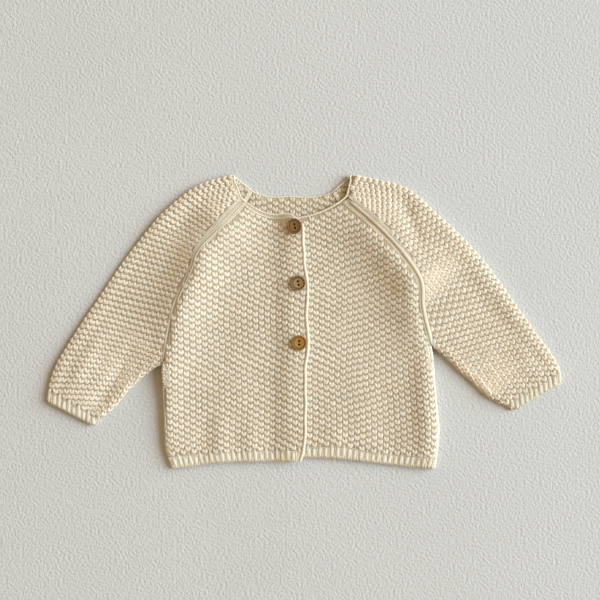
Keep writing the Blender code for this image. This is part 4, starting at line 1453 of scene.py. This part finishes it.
def back_stitches(surface):
    """Brick-laid stitches on the outside of the back, and on what the neck opening shows of its inside."""
    points = surface.points
    rim = np.concatenate([points[0], points[:, -1], points[-1, ::-1], points[::-1, 0]])
    raglans = [points[UNDERARM * HALVINGS:, k] for k in (0, -1)]
    tree = surface.tree()
    outside, inside = [], []
    (low_x, high_x), low_y = INSIDE_NECK
    for x, y in brick_places(*back_edges(), outline(RIB_LINES["back"]), BACK_TOP):
        hit, _ = seen_from_above(tree, x, y)
        if hit is None or distance_to(rim, x, y) < RIM_MARGIN:
            continue
        if min(distance_to(raglan, x, y) for raglan in raglans) > BACK_STRIP:
            along = (RANDOM.uniform(-BACK_LEAN, BACK_LEAN), 1.0, 0.0)
            outside.append(pressed(np.array((x, y, BACK_Z)), along, DOWN, uneven()))
    neck = outline(NECKLINES["back"])
    for number, x in enumerate(np.arange(low_x, high_x, COLUMN_PITCH)):
        for row in range(INSIDE_ROWS):
            y = neck(x) - INSIDE_RIM - ROW_PITCH * (row + STAGGER * (number % 2))
            hit, _ = seen_from_above(tree, x, y)
            if hit is not None and y > low_y:
                inside.append((np.array((x, y, BACK_Z + STAND)), (0.0, 1.0, 0.0), UP, uneven()))
    return outside, inside


# ---- ribs -------------------------------------------------------------------------------------------
RIB_RADIUS = 2.05
RIB_RADII = (0.94, 1.06)                # least and greatest share of it that a rib has
RIB_FLATNESS = 0.38
RIB_SIDES = 10
RIB_STAND = 0.35
UNDER_RIB_RADIUS = 1.3
UNDER_RIB_SIDES = 6
RIB_STEPS = 8
RIB_START = 0.5                         # from the hem's edge up to the start of a rib
RIB_TOP = 0.02                          # rows that a rib goes on above the rib's line
RIB_STAGGER = 0.38                      # the same, more, in every other column
RIB_UNEVEN = 0.5                        # a rib ends up to this much higher or lower
RIB_SPLAY = -0.0024                     # the ribs draw in a little towards the hem's edge
RIB_MIDDLE = -3.0
RIB_END = 1.0                           # no rib comes this near to the end of the hem
CUFF_START = 0.02                       # where a cuff's ribs start, as a share of its height
CUFF_ROWS = 0.5                         # rows that every other rib of a cuff goes on up its sleeve
CUFF_SHARES = np.linspace(0.2, 1.0, 3)  # shares of that where it has its points


def rib_paths(side, surface, edges, on_cloth, radius):
    """Ribs of a hem below the columns of its panel: paths of yarn from the cast-on edge upwards."""
    near, far = edges
    low_line, high_line = outline(HEM_LINES[side]), outline(RIB_LINES[side])
    flanks = [over_height(surface.points[:, k]) for k in (0, -1)]
    paths = []
    for number, share in enumerate(brick_columns(near, far)):
        x = near(COUNTING_HEIGHT) + share * (far(COUNTING_HEIGHT) - near(COUNTING_HEIGHT))
        rows = RIB_TOP + RIB_STAGGER * (number % 2)
        top = high_line(x) + ROW_PITCH * rows + RANDOM.uniform(-RIB_UNEVEN, RIB_UNEVEN)
        x = near(top) + share * (far(top) - near(top)) + aside(share, x, top)
        path = []
        for y in np.linspace(low_line(x) + RIB_START, top, RIB_STEPS):
            leaning = x + (top - y) * RIB_SPLAY * (x - RIB_MIDDLE)
            if min(abs(leaning - flank(y)) for flank in flanks) > RIB_END:
                path += on_cloth(leaning, y)
        if len(path) > 2:
            paths.append(with_radii(path, radius * RANDOM.uniform(*RIB_RADII)))
    return paths


def top_rib_paths(side):
    """Ribs on the upper side of a front's hem, which run on to the front itself."""
    trees = [surfaces[name + side].tree() for name in ("hem_rib_front_", "front_")]

    def on_cloth(x, y):
        for tree in trees:
            hit, out = seen_from_above(tree, x, y)
            if hit is not None:
                return [np.array(hit) + np.array(out) * math.copysign(RIB_STAND, out.z)]
        return []

    return rib_paths(side, surfaces["hem_rib_front_" + side], column_edges(side), on_cloth, RIB_RADIUS)


def under_rib_paths():
    """Ribs on the underside of the back's hem."""

    def on_cloth(x, y):
        return [np.array((x, y, BACK_Z - UNDER_STAND))]

    return rib_paths("back", surfaces["hem_rib_back"], back_edges(), on_cloth, UNDER_RIB_RADIUS)


def cuff_paths(cuff, sleeve, side):
    """Ribs all round a cuff, in line with the columns of its sleeve and up to their first stitches."""
    middle = RIB_SECTIONS // 2
    low, high = cuff.reach(middle, FOLD_COLUMN, 0), cuff.reach(middle, FOLD_COLUMN, -1)
    lengths = sleeve.places_along(FOLD_COLUMN)
    past = float(np.interp(CUFF_ROWS * ARM_ROW_PITCH, lengths, range(len(lengths))))
    paths = []
    for number in ARM_COLUMNS:
        distance = (number + 0.5) * ARM_COLUMN_PITCH
        if low < distance < high:
            shares = np.linspace(CUFF_START, 1.0, RIB_STEPS)
            places = [(cuff, share * (len(cuff.points) - 1)) for share in shares]
            if number % 2:
                places += [(sleeve, share * past) for share in CUFF_SHARES]
            path = []
            for surface, place in places:
                point, _, out = surface_frame(surface, place, distance, FOLD_COLUMN, OUTWARD[side])
                path.append(point + out * RIB_STAND)
            paths.append(with_radii(path, RIB_RADIUS * RANDOM.uniform(*RIB_RADII)))
    return paths


# ---- cords ------------------------------------------------------------------------------------------
WAVE_LENGTH = 26.0                      # of the slow wave of an edge cord
CORD_STEP = 0.8
END_SHARE = 0.4                         # share of its radius that a cord has at its very ends
END_GROWTH = 0.3                        # the share that it gains with each point from there


def tapered(count, radius):
    """Radii of a cord that thins at both ends."""
    from_end = np.minimum(np.arange(count), np.arange(count)[::-1])
    return radius * np.clip(END_SHARE + END_GROWTH * from_end, END_SHARE, 1.0)


def with_radii(points, radius):
    """Path of a cord through the points, in rows of x, y, z and radius."""
    return np.column_stack([np.array(points), tapered(len(points), radius)])


def worked_cord(points, radii, bead, wave=0.0):
    """Path of an edge cord: even steps, a soft swell at each stitch and a slow wave."""
    points, radii = np.array(points), np.array(radii, float)
    lengths = steps_along(points)
    places = np.linspace(0.0, lengths[-1], int(lengths[-1] / CORD_STEP) + 2)
    line = on_line(places, lengths, points).T
    line[:, 0] += wave * np.sin(2.0 * math.pi * places / WAVE_LENGTH)
    beads = np.interp(places, lengths, np.broadcast_to(bead, len(points)))
    thick = np.interp(places, lengths, radii) * (1.0 + beads * np.sin(2.0 * math.pi * places / BAND_PITCH))
    return np.column_stack([line, thick * tapered(len(places), 1.0)])


def cord_path(surface, side, datum, distance, first, last, stand):
    """Path of a cord on a surface, at a distance from one of its columns."""
    points = []
    for place in np.linspace(first, last, int((last - first) * POINTS_PER_ROW) + 3):
        point, _, out = surface_frame(surface, place, distance, datum, side)
        points.append(point + out * stand)
    return worked_cord(points, [CORD_RADIUS] * len(points), bead=BAND_BEAD)


def row_path(surface, row, lift, radius):
    """Path of a cord along one row of a surface, outside the cloth."""
    points = surface.points[row]
    steps = np.gradient(points, axis=0)
    ways = np.gradient(surface.points, axis=0)[row]
    outs = np.cross(steps, ways)
    outs /= np.linalg.norm(outs, axis=1)[:, None]
    return with_radii(points + outs * lift, radius)


FRONT_CORDS = {                         # distance out from the bend, and first row of the table
    "right": ((1.9, 5.2), (0.1, 7.0), (-1.7, 8.0)),
    "left": ((1.7, 4.0), (-0.1, 5.6), (-1.9, 7.4)),
}
SLEEVE_CORDS = {                        # distance in from the seam, and first row of the table
    "right": ((0.9, 6.4), (2.7, 7.4)),
    "left": ((1.6, 6.2), (3.3, 7.4)),
}
BEND = -1 - TURN_STEPS * ACROSS         # column where a front's cloth starts to turn down
SEAM_COLUMN = -3                        # column of a front that its raglan seam runs on
CORD_RADIUS = 0.8
BAND_BEAD = 0.14
BAND_STAND = 0.45
SEAM_RADII = {"right": 1.9, "left": 2.6}
SEAM_SHARES = {"right": 0.5, "left": 0.62}  # of the way from the front's edge to the sleeve's
SEAM_DEPTHS = {"right": 1.2, "left": 0.5}  # of the seam's yarn below the middle of the cloths it joins
# the wearer's right raglan seam is in the dark seam yarn, as its painted shade
SEAM_YARNS = {"right": SEAM_SHADE_YARN, "left": BAND_YARN}
FLANK_CHAINS = (1.5, 4.1, 6.7)          # from a front's turned edge to the chains of its side seam
CHAIN_STAND = 0.5
BACK_CHAINS = (1.4, 4.0)                # the same on the back
ARM_CHAIN = 1.2                         # the same at a sleeve's lower edge
ARM_CHAIN_STAND = 0.4
INNER_CORDS = (1.0, 2.5, 4.0)           # from a sleeve's back edge to the cords that show inside the neck
INNER_ROWS = 11
INNER_STAND = -1.0
JOINT_RADIUS = 1.0                      # of the cord between a rib and its panel
JOINT_LIFT = 0.1
CAST_ON_RADIUS = 0.85                   # of the cord along a rib's free edge
CAST_ON_LIFT = 0.35
RIB_WAYS = (                            # turns the lift of a rib's free cord to the outside
    ("hem_rib_front_right", 1.0), ("hem_rib_front_left", -1.0), ("hem_rib_back", -1.0),
    ("cuff_right", 1.0), ("cuff_left", -1.0),
)


def seam_path(front, sleeve, side):
    """Path of the linked seam, between a front's turned edge and its sleeve."""
    front, sleeve = front.points[UNDERARM * HALVINGS:], sleeve.points[UNDERARM * HALVINGS:]
    path = front[:, SEAM_COLUMN] + SEAM_SHARES[side] * (sleeve[:, 0] - front[:, SEAM_COLUMN])
    path[:, 2] = (front[:, BEND, 2] + sleeve[:, 0, 2]) / 2 - SEAM_DEPTHS[side]
    return with_radii(path, SEAM_RADII[side])


def knit_back():
    """The back's stitches outside and inside, the chains along its seams, and its ribs."""
    outside, inside = back_stitches(surfaces["back"])
    add_stitches("back", "back_stitches", BRICK_STITCH, outside)
    # the inside stitches are painted darker, as the shade inside the neck
    add_stitches("back", "back_inside_stitches", BRICK_STITCH, inside, INSIDE_PAINTED_SHADE)
    chains = []
    for number, way in ((0, 1.0), (-1, -1.0)):
        rim = surfaces["back"].points[:, number]
        for inset in BACK_CHAINS:
            line = rim + (way * inset, 0.0, -UNDER_STAND)
            for place, along, out, size in chain(line, np.tile(DOWN, (len(line), 1))):
                chains.append((place, along, out, flattened(size)))
    add_stitches("back", "back_seam_bands", BAND_STITCH, chains)
    ribs = under_rib_paths()
    add_cords("hem_rib_back", "hem_rib_back_ribs", ribs, CREAM_YARN, "rib_knit", UNDER_RIB_SIDES)


def knit_front(side):
    """A front's stitches, the cords and the linked seam of its raglan, and its side seam."""
    name = "front_" + side
    out = OUTWARD[side]
    front, rib = surfaces[name], surfaces["hem_rib_" + name]
    under, top = UNDERARM * HALVINGS, len(front.points) - 1
    stitches = panel_stitches(front, column_edges(side), outline(RIB_LINES[side]), front_room(side, front))
    add_stitches(name, name + "_stitches", BRICK_STITCH, stitches)
    bands = [
        cord_path(front, out, BEND, distance, first * HALVINGS, top, BAND_STAND)
        for distance, first in FRONT_CORDS[side]
    ]
    add_cords(name, name + "_raglan_band", bands, BAND_YARN, "knit")
    seam = seam_path(front, surfaces["sleeve_" + side], side)
    add_cords(name, name + "_raglan_seam", [seam], SEAM_YARNS[side], "knit")
    chains = []
    for distance in FLANK_CHAINS:
        chains += band(front, out, -1, -distance, 0, under, CHAIN_STAND)
        chains += band(rib, out, -1, -distance, 0, len(rib.points) - 1, CHAIN_STAND)
    add_stitches(name, name + "_side_seam", BAND_STITCH, chains)


def knit_sleeve(side):
    """A sleeve's stitches, its seam, the cords of its raglan, and what the neck shows inside it."""
    name = "sleeve_" + side
    out = OUTWARD[side]
    sleeve = surfaces[name]
    last = len(sleeve.points) - 1
    add_stitches(name, name + "_stitches", BRICK_STITCH, sleeve_stitches(sleeve, side))
    seam = band(sleeve, out, 0, ARM_CHAIN, 0, len(ARMS[side]) * HALVINGS, ARM_CHAIN_STAND)
    add_stitches(name, name + "_under_seam", BAND_STITCH, seam)
    bands = [
        cord_path(sleeve, out, 0, distance, first * HALVINGS, last, BAND_STAND)
        for distance, first in SLEEVE_CORDS[side]
    ]
    add_cords(name, name + "_raglan_band", bands, BAND_YARN, "knit")
    inside = shoulder_stitches(sleeve, side)
    # the inside stitches are painted darker, as the shade inside the neck
    add_stitches(name, name + "_inside_stitches", BRICK_STITCH, inside, INSIDE_PAINTED_SHADE)
    inner = [
        cord_path(sleeve, out, -1, -distance, last - INNER_ROWS, last, INNER_STAND)
        for distance in INNER_CORDS
    ]
    add_cords(name, name + "_inner_seam", inner, EDGE_YARN, "knit")


def knit_ribs(side):
    """The ribs of a front's hem and of a cuff."""
    name = "hem_rib_front_" + side
    add_cords(name, name + "_ribs", top_rib_paths(side), RIB_YARN, "rib_knit", RIB_SIDES, RIB_FLATNESS)
    name = "cuff_" + side
    ribs = cuff_paths(surfaces[name], surfaces["sleeve_" + side], side)
    add_cords(name, name + "_ribs", ribs, RIB_YARN, "rib_knit", RIB_SIDES, RIB_FLATNESS)


def bind_rib(name, way):
    """The cords along both edges of a rib."""
    joint = row_path(surfaces[name], -1, JOINT_LIFT, JOINT_RADIUS)
    # the joint's cord is in the dark seam yarn, painted as the shade in the gap between rib and panel
    add_cords(name, name + "_joint", [joint], SEAM_SHADE_YARN, "rib_knit", sides=6)
    cast_on = row_path(surfaces[name], 0, CAST_ON_LIFT * way, CAST_ON_RADIUS)
    add_cords(name, name + "_cast_on_edge", [cast_on], EDGE_YARN, "rib_knit")


knit_back()
for side in SIDES:
    knit_front(side)
    knit_sleeve(side)
    knit_ribs(side)
for name, way in RIB_WAYS:
    bind_rib(name, way)


# ---- edgings ----------------------------------------------------------------------------------------
EDGE_RADIUS = 1.7
EDGE_GAP = 0.1                          # between the cloth's rim and the cord of an opening edge
EDGE_BEAD = 0.14                        # how much a cord swells at each of its stitches, as a share
EDGE_WAVE = 0.3
NECK_RADII = {"front_right": 0.95, "sleeve_right": 1.0, "back": 0.85, "sleeve_left": 1.1, "front_left": 1.1}
NECK_GAP = 0.2
NECK_BEAD = 0.16
BACK_BEAD = 0.34
FRONT_RIM = slice(0, -(TURN_STEPS + 1) * ACROSS)  # columns of a front's top row beside the neck
SLEEVE_RIM = slice(TURN_STEPS * ACROSS, -ACROSS)  # the same of a sleeve
SECOND_RADIUS = 0.85
SECOND_LIFT = 0.6


def beyond(rim, inner, distance):
    """Path just outside a rim."""
    path = []
    for k, point in enumerate(rim):
        along = rim[min(k + 1, len(rim) - 1)] - rim[max(k - 1, 0)]
        along = along / np.linalg.norm(along)
        out = point - inner[k]
        out = out - along * out.dot(along)
        path.append(point + out / np.linalg.norm(out) * distance)
    return path


def front_edge(side):
    """Path of the cord down an opening edge, from the hem to the neck."""
    rib, front = surfaces["hem_rib_front_" + side].points, surfaces["front_" + side].points
    rim = np.concatenate([rib[:-1, 0], front[:, 0]])
    inner = np.concatenate([rib[:-1, ACROSS], front[:, ACROSS]])
    points = beyond(rim, inner, EDGE_RADIUS + EDGE_GAP)
    return worked_cord(points, [EDGE_RADIUS] * len(points), EDGE_BEAD, EDGE_WAVE)


def neck_edge():
    """Path of the cord round the neck, over both shoulders."""
    stretches = (
        ("front_right", FRONT_RIM, 1), ("sleeve_right", SLEEVE_RIM, 1), ("back", slice(None), 1),
        ("sleeve_left", SLEEVE_RIM, -1), ("front_left", FRONT_RIM, -1),
    )
    points, radii, beads = [], [], []
    for name, part, way in stretches:
        rows = surfaces[name].points
        inner = rows[-1 - HALVINGS // 2][part]
        points += beyond(rows[-1][part], inner, NECK_RADII[name] + NECK_GAP)[::way]
        radii += [NECK_RADII[name]] * len(rows[-1][part])
        beads += [BACK_BEAD if name == "back" else NECK_BEAD] * len(rows[-1][part])
    return worked_cord(points, radii, bead=beads)


def second_neck_edge():
    """Path of the second cord beside the first on the right front, which it joins at the corner."""
    rows = surfaces["front_right"].points
    rim, inner = rows[-1][FRONT_RIM], rows[-1 - HALVINGS // 2][FRONT_RIM]
    inset = -DOUBLE_EDGE * np.clip(np.linspace(-0.3, 3.0, len(rim)), 0.0, 1.0)
    points = [beyond(rim, inner, distance)[k] for k, distance in enumerate(inset)]
    points = np.array(points) + (0.0, 0.0, SECOND_LIFT)
    return worked_cord(points, [SECOND_RADIUS] * len(points), bead=NECK_BEAD)


settle(cords("neck_edging_cord", [neck_edge()], 8, NECK_YARN), "edging_knit", "neck_edging")
settle(cords("neck_edging_second_cord", [second_neck_edge()], 8, NECK_YARN), "edging_knit")
for side in SIDES:
    name = f"front_edging_{side}"
    settle(cords(name + "_cord", [front_edge(side)], 10, EDGE_YARN), "edging_knit", name)


# ---- buttons ----------------------------------------------------------------------------------------
BUTTON_OUTLINE = (                      # radius, height: from the dished middle over the rim to the base
    (0.0, 2.05), (2.4, 2.1), (4.2, 2.35), (4.8, 2.5), (5.15, 2.45), (5.4, 2.3), (5.75, 2.35), (6.1, 2.65),
    (6.7, 3.0), (7.2, 2.95), (7.6, 2.6), (7.8, 1.9), (7.65, 1.1), (7.2, 0.45), (6.3, 0.0), (0.0, 0.0),
)
BUTTON_SINK = 1.1                       # how far a button presses into the knit
TILT_LIFT = 0.48                        # share of its radius over which a tilted button is lifted
BUTTON_SIDES = 56
HOLE_SIDES = 20
CUTTER_HEIGHT = 9.0                     # of a hole's cutter, above and below the button's base
THREAD_HALF = (                         # half of the thread: distance from the middle, height and radius
    (HOLE_SPACING / 2, -1.5, 1.15), (HOLE_SPACING / 2, 0.9, 1.15), (0.9, 1.4, 0.6),
)
RING_RADIUS = 5.75                      # of the burnt groove and its dots
RING_WIDTH = 0.7
DOTS = 13
DOT_RADIUS = 0.85
INNER_RING = (3.3, 0.45)                # radius and width of a fainter ring
RIM_START = 5.9                         # radius from which the wood is burnt darker and darker
RIM_WIDTH = 1.6


def wood_group():
    """Colour and relief of turned wood: grain across the button, and a burnt ring in its groove."""
    nodes, given, out = shader_group(
        "turned wood",
        {
            "Place": ("NodeSocketVector", None),
            "Light": ("NodeSocketColor", (1, 1, 1, 1)),
            "Deep": ("NodeSocketColor", (0.5, 0.5, 0.5, 1)),
            "Ring": ("NodeSocketColor", (0.1, 0.1, 0.1, 1)),
            "Speckle": ("NodeSocketFloat", 0.5),
        },
        {"Color": "NodeSocketColor", "Height": "NodeSocketFloat", "Roughness": "NodeSocketFloat"},
    )
    place = nodes.add("ShaderNodeSeparateXYZ", {0: given["Place"]}).outputs
    flat = nodes.add("ShaderNodeCombineXYZ", {"X": place["X"], "Y": place["Y"]}).outputs[0]
    radius = nodes.add("ShaderNodeVectorMath", {0: flat}, operation="LENGTH").outputs["Value"]
    stretched = nodes.add(
        "ShaderNodeVectorMath", {0: given["Place"], 1: (1.0, 0.16, 1.0)}, operation="MULTIPLY"
    ).outputs[0]
    grain = nodes.noise(stretched, 900.0, 5.0)
    cloud = nodes.noise(given["Place"], 180.0)
    mask = nodes.plus(nodes.times(grain, 0.8), nodes.times(cloud, 0.35), clamp=True)
    wood = nodes.mix(mask, given["Deep"], given["Light"])

    def ring_at(middle, width):
        """Distance from a ring of the given radius, and a mask that fades out over its width."""
        off = nodes.math("ABSOLUTE", nodes.minus(radius, middle * MM))
        return off, nodes.minus(1.0, nodes.math("DIVIDE", off, width * MM), clamp=True)

    off, groove = ring_at(RING_RADIUS, RING_WIDTH)
    _, inner = ring_at(*INNER_RING)
    turns = nodes.times(nodes.math("ARCTAN2", place["Y"], place["X"]), DOTS / (2 * math.pi))
    beside = nodes.minus(nodes.math("FRACT", turns), 0.5)
    beside = nodes.times(beside, 2 * math.pi * RING_RADIUS * MM / DOTS)
    gap = nodes.math("SQRT", nodes.plus(nodes.times(beside, beside), nodes.times(off, off)))
    gap = nodes.math("DIVIDE", gap, DOT_RADIUS * MM)
    dots = nodes.times(nodes.minus(1.35, gap, clamp=True), 2.0, clamp=True)
    plain = nodes.minus(1.0, given["Speckle"])
    groove = nodes.times(groove, nodes.plus(0.4, nodes.times(plain, 0.6)))
    burnt = nodes.math("MAXIMUM", groove, nodes.times(dots, given["Speckle"]))
    burnt = nodes.math("MAXIMUM", burnt, nodes.times(nodes.times(inner, plain), 0.5))
    rim = nodes.math("DIVIDE", nodes.minus(radius, RIM_START * MM), RIM_WIDTH * MM, clamp=True)
    rim = nodes.times(rim, nodes.plus(0.28, nodes.times(plain, 0.62)))
    burnt = nodes.math("MAXIMUM", burnt, rim)
    nodes.tree.links.new(nodes.mix(burnt, wood, given["Ring"]), out["Color"])
    nodes.tree.links.new(grain, out["Height"])
    nodes.tree.links.new(nodes.plus(0.4, nodes.times(grain, 0.25)), out["Roughness"])
    return nodes.tree


WOOD = wood_group()


def wood_material(name, light, deep, ring, speckle, centre, turn, tilt):
    """Turned wood whose rings are centred on its own button by a Mapping node."""
    material, nodes, shader = new_material(name)
    place = nodes.add("ShaderNodeTexCoord").outputs["Object"]
    centred = nodes.add("ShaderNodeMapping", {"Vector": place}, vector_type="TEXTURE")
    centred.inputs["Location"].default_value = centre
    centred.inputs["Rotation"].default_value = (0.0, -tilt, turn)
    links = {
        "Place": centred.outputs[0], "Light": light, "Deep": deep, "Ring": ring, "Speckle": speckle,
    }
    group = nodes.add("ShaderNodeGroup", links, node_tree=WOOD)
    colour_and_relief(nodes, shader, group, 0.35, 0.0002)
    nodes.tree.links.new(group.outputs["Roughness"], shader.inputs["Roughness"])
    shader.inputs["Specular IOR Level"].default_value = 0.25
    shader.inputs["Coat Weight"].default_value = 0.05
    shader.inputs["Coat Roughness"].default_value = 0.35
    return material


def turned(name, profile, sides):
    """A closed turned shape from radius, height pairs that run from the top middle to the bottom middle."""
    corners = [(0.0, 0.0, profile[0][1] * MM)]
    faces = []
    rings = profile[1:-1]
    for radius, height in rings:
        for n in range(sides):
            angle = 2 * math.pi * n / sides
            corners.append((radius * math.cos(angle) * MM, radius * math.sin(angle) * MM, height * MM))
    corners.append((0.0, 0.0, profile[-1][1] * MM))
    last = len(corners) - 1
    for n in range(sides):
        after = (n + 1) % sides
        faces.append((0, 1 + n, 1 + after))
        faces.append((last, last - sides + after, last - sides + n))
        for k in range(len(rings) - 1):
            low, high = 1 + k * sides, 1 + (k + 1) * sides
            faces.append((low + n, high + n, high + after, low + after))
    mesh = bpy.data.meshes.new(name)
    mesh.from_pydata(corners, [], faces)
    mesh.shade_smooth()
    return new_object(name, mesh)


def button_matrix(row):
    """Place and turn of a button, from the middle of its base."""
    seat = right_front_height(row.x, row.y) + WALL / 2 + GAP
    base = seat - BUTTON_SINK + TILT_LIFT * BUTTON_RADIUS * math.sin(math.radians(row.tilt))
    turn = Matrix.Rotation(math.radians(row.turn), 4, "Z") @ Matrix.Rotation(-math.radians(row.tilt), 4, "Y")
    return Matrix.Translation(Vector((row.x, row.y, base)) * MM) @ turn


def cut_holes(item):
    """The button with its two thread holes."""
    top, bottom = CUTTER_HEIGHT, -CUTTER_HEIGHT
    profile = ((0.0, top), (HOLE_RADIUS, top), (HOLE_RADIUS, bottom), (0.0, bottom))
    cutters = []
    for way in (-1, 1):
        hole = turned("hole", profile, HOLE_SIDES)
        hole.location = (0.0, way * HOLE_SPACING / 2 * MM, 0.0)
        boolean = item.modifiers.new("hole", "BOOLEAN")
        boolean.operation = "DIFFERENCE"
        boolean.solver = "EXACT"
        boolean.object = hole
        cutters.append(hole)
    item = baked(item)
    for hole in cutters:
        bpy.data.objects.remove(hole)
    return item


def thread_path(matrix):
    """Path of a button's thread, up through one hole and down through the other."""
    route = [(-y, z, radius) for y, z, radius in THREAD_HALF] + list(THREAD_HALF[::-1])
    return [(*(matrix @ (Vector((0.0, y, z)) * MM) / MM), radius) for y, z, radius in route]


def button(number, row, colours, slot):
    """A turned button with its two holes, and the thread that shows sunk in them."""
    matrix = button_matrix(row)
    item = cut_holes(turned(f"button_{number}_wood", BUTTON_OUTLINE, BUTTON_SIDES))
    item.data.transform(matrix)
    turn, tilt = math.radians(row.turn), math.radians(row.tilt)
    wood = wood_material(f"button {number} wood", *colours, matrix.translation, turn, tilt)
    item.data.materials.clear()
    item.data.materials.append(wood)
    settle(item, slot, f"button_{number}")
    thread = cords(f"button_{number}_thread", [thread_path(matrix)], 8, THREAD, up=(1.0, 0.0, 0.0))
    settle(thread, "thread", f"button_thread_{number}")


def thread_material():
    """Dark brown sewing thread."""
    material, nodes, shader = new_material("sewing thread")
    place = nodes.add("ShaderNodeTexCoord").outputs["Object"]
    fibre = nodes.noise(place, 2500.0)
    colour = nodes.mix(fibre, (0.012, 0.008, 0.007, 1), (0.03, 0.02, 0.015, 1))
    nodes.tree.links.new(colour, shader.inputs["Base Color"])
    shader.inputs["Roughness"].default_value = 0.9
    shader.inputs["Specular IOR Level"].default_value = 0.0
    return material


THREAD = thread_material()
BUTTON_WOODS = (                        # light and deep grain, burnt ring, and share of it that is dots
    ((0.44, 0.27, 0.11, 1), (0.26, 0.15, 0.05, 1), (0.022, 0.009, 0.004, 1), 0.4),
    ((0.41, 0.25, 0.105, 1), (0.25, 0.145, 0.055, 1), (0.03, 0.003, 0.004, 1), 1.0),
    ((0.47, 0.25, 0.045, 1), (0.30, 0.145, 0.028, 1), (0.05, 0.014, 0.005, 1), 0.85),
)
BUTTON_SLOTS = ("dark_wood", "speckled_wood", "light_wood")
for number, (row, colours, slot) in enumerate(zip(BUTTONS, BUTTON_WOODS, BUTTON_SLOTS), 1):
    button(number, row, colours, slot)


# ---- sheets -----------------------------------------------------------------------------------------
RESTS_ON = {"front_right": ["back"], "front_left": ["back"]}
for name, surface in surfaces.items():
    width = float(surface.across[:, -1].max())
    length = float(max(surface.places_along(number)[-1] for number in range(surface.points.shape[1])))
    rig.sheet(
        pieces[name], flat=(width * MM, length * MM), held="laid", area=surface.area(),
        rests_on=RESTS_ON.get(name, []), with_pieces=trims[name],
    )


# ---- stage ------------------------------------------------------------------------------------------
FLOOR_SIZE = 8.0                        # metres, as all sizes of the stage


def floor_material():
    """Pale plaster with a fine grain and faint clouds."""
    material, nodes, shader = new_material("pale plaster floor")
    place = nodes.add("ShaderNodeTexCoord").outputs["Object"]
    grain = nodes.noise(place, 360.0, 3.0)
    tone = nodes.noise(place, 5.0)
    colour = nodes.mix(tone, (0.59, 0.588, 0.575, 1), (0.645, 0.642, 0.63, 1))
    nodes.tree.links.new(colour, shader.inputs["Base Color"])
    bump = nodes.add("ShaderNodeBump", {"Height": grain, "Strength": 0.6, "Distance": 0.0018})
    nodes.tree.links.new(bump.outputs["Normal"], shader.inputs["Normal"])
    shader.inputs["Roughness"].default_value = 0.95
    return material


bpy.ops.mesh.primitive_plane_add(size=FLOOR_SIZE, location=(0.0, 0.0, 0.0))
floor = bpy.context.object
floor.name = "floor"
floor.data.materials.append(floor_material())
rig.stage(floor)


def softbox(name, place, size, energy, colour):
    """A disk light that faces the middle of the floor."""
    light = bpy.data.lights.new(name, "AREA")
    light.shape = "DISK"
    light.size = size
    light.energy = energy
    light.color = colour
    item = new_object(name, light)
    item.location = place
    item.rotation_euler = (-Vector(place)).to_track_quat("-Z", "Y").to_euler()
    return item


LIGHT_DISTANCE = 12.0
LIGHT_SIZE = 10.0
LIGHT_POWER = 2830.0
LIGHT_COLOUR = (0.72, 0.868, 1.0)
LIGHT_HEIGHT = math.radians(28.0)
LIGHT_TURN = math.radians(12.0)
FILL_COLOUR = (1.0, 0.725, 0.4, 1.0)    # of the light that comes from all round
FILL_STRENGTH = 0.455
SEEN_COLOUR = (0.6, 0.598, 0.585, 1.0)  # of what the camera sees beyond the floor
LIGHT_PLACE = (
    LIGHT_DISTANCE * math.cos(LIGHT_HEIGHT) * math.cos(LIGHT_TURN),
    LIGHT_DISTANCE * math.cos(LIGHT_HEIGHT) * math.sin(LIGHT_TURN),
    LIGHT_DISTANCE * math.sin(LIGHT_HEIGHT),
)
softbox("window light", LIGHT_PLACE, LIGHT_SIZE, LIGHT_POWER, LIGHT_COLOUR)
world = bpy.data.worlds.new("studio")
bpy.context.scene.world = world
world.use_nodes = True
world.node_tree.nodes.clear()
sky = Nodes(world.node_tree)
fill = sky.add("ShaderNodeBackground", {"Color": FILL_COLOUR, "Strength": FILL_STRENGTH}).outputs[0]
seen = sky.add("ShaderNodeBackground", {"Color": SEEN_COLOUR, "Strength": 1.0}).outputs[0]
by_camera = sky.add("ShaderNodeLightPath").outputs["Is Camera Ray"]
mixed = sky.add("ShaderNodeMixShader", {0: by_camera, 1: fill, 2: seen}).outputs[0]
sky.add("ShaderNodeOutputWorld", {"Surface": mixed})

PHOTO_CENTRE = Vector((-5.1, 21.9)) * MM
CAMERA_HEIGHT = 0.855
camera = bpy.data.cameras.new("camera")
camera.lens = 50.0
camera.sensor_width = 36.0
camera_item = new_object("camera", camera)
camera_item.location = (PHOTO_CENTRE.x, PHOTO_CENTRE.y, CAMERA_HEIGHT)
bpy.context.scene.camera = camera_item
bpy.context.scene.view_settings.view_transform = "Standard"

with open("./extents.json", "w") as sizes:
    json.dump({"cad": [list(corner) for corner in cad_box], "visual": [list(corner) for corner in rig.bounds()]}, sizes)
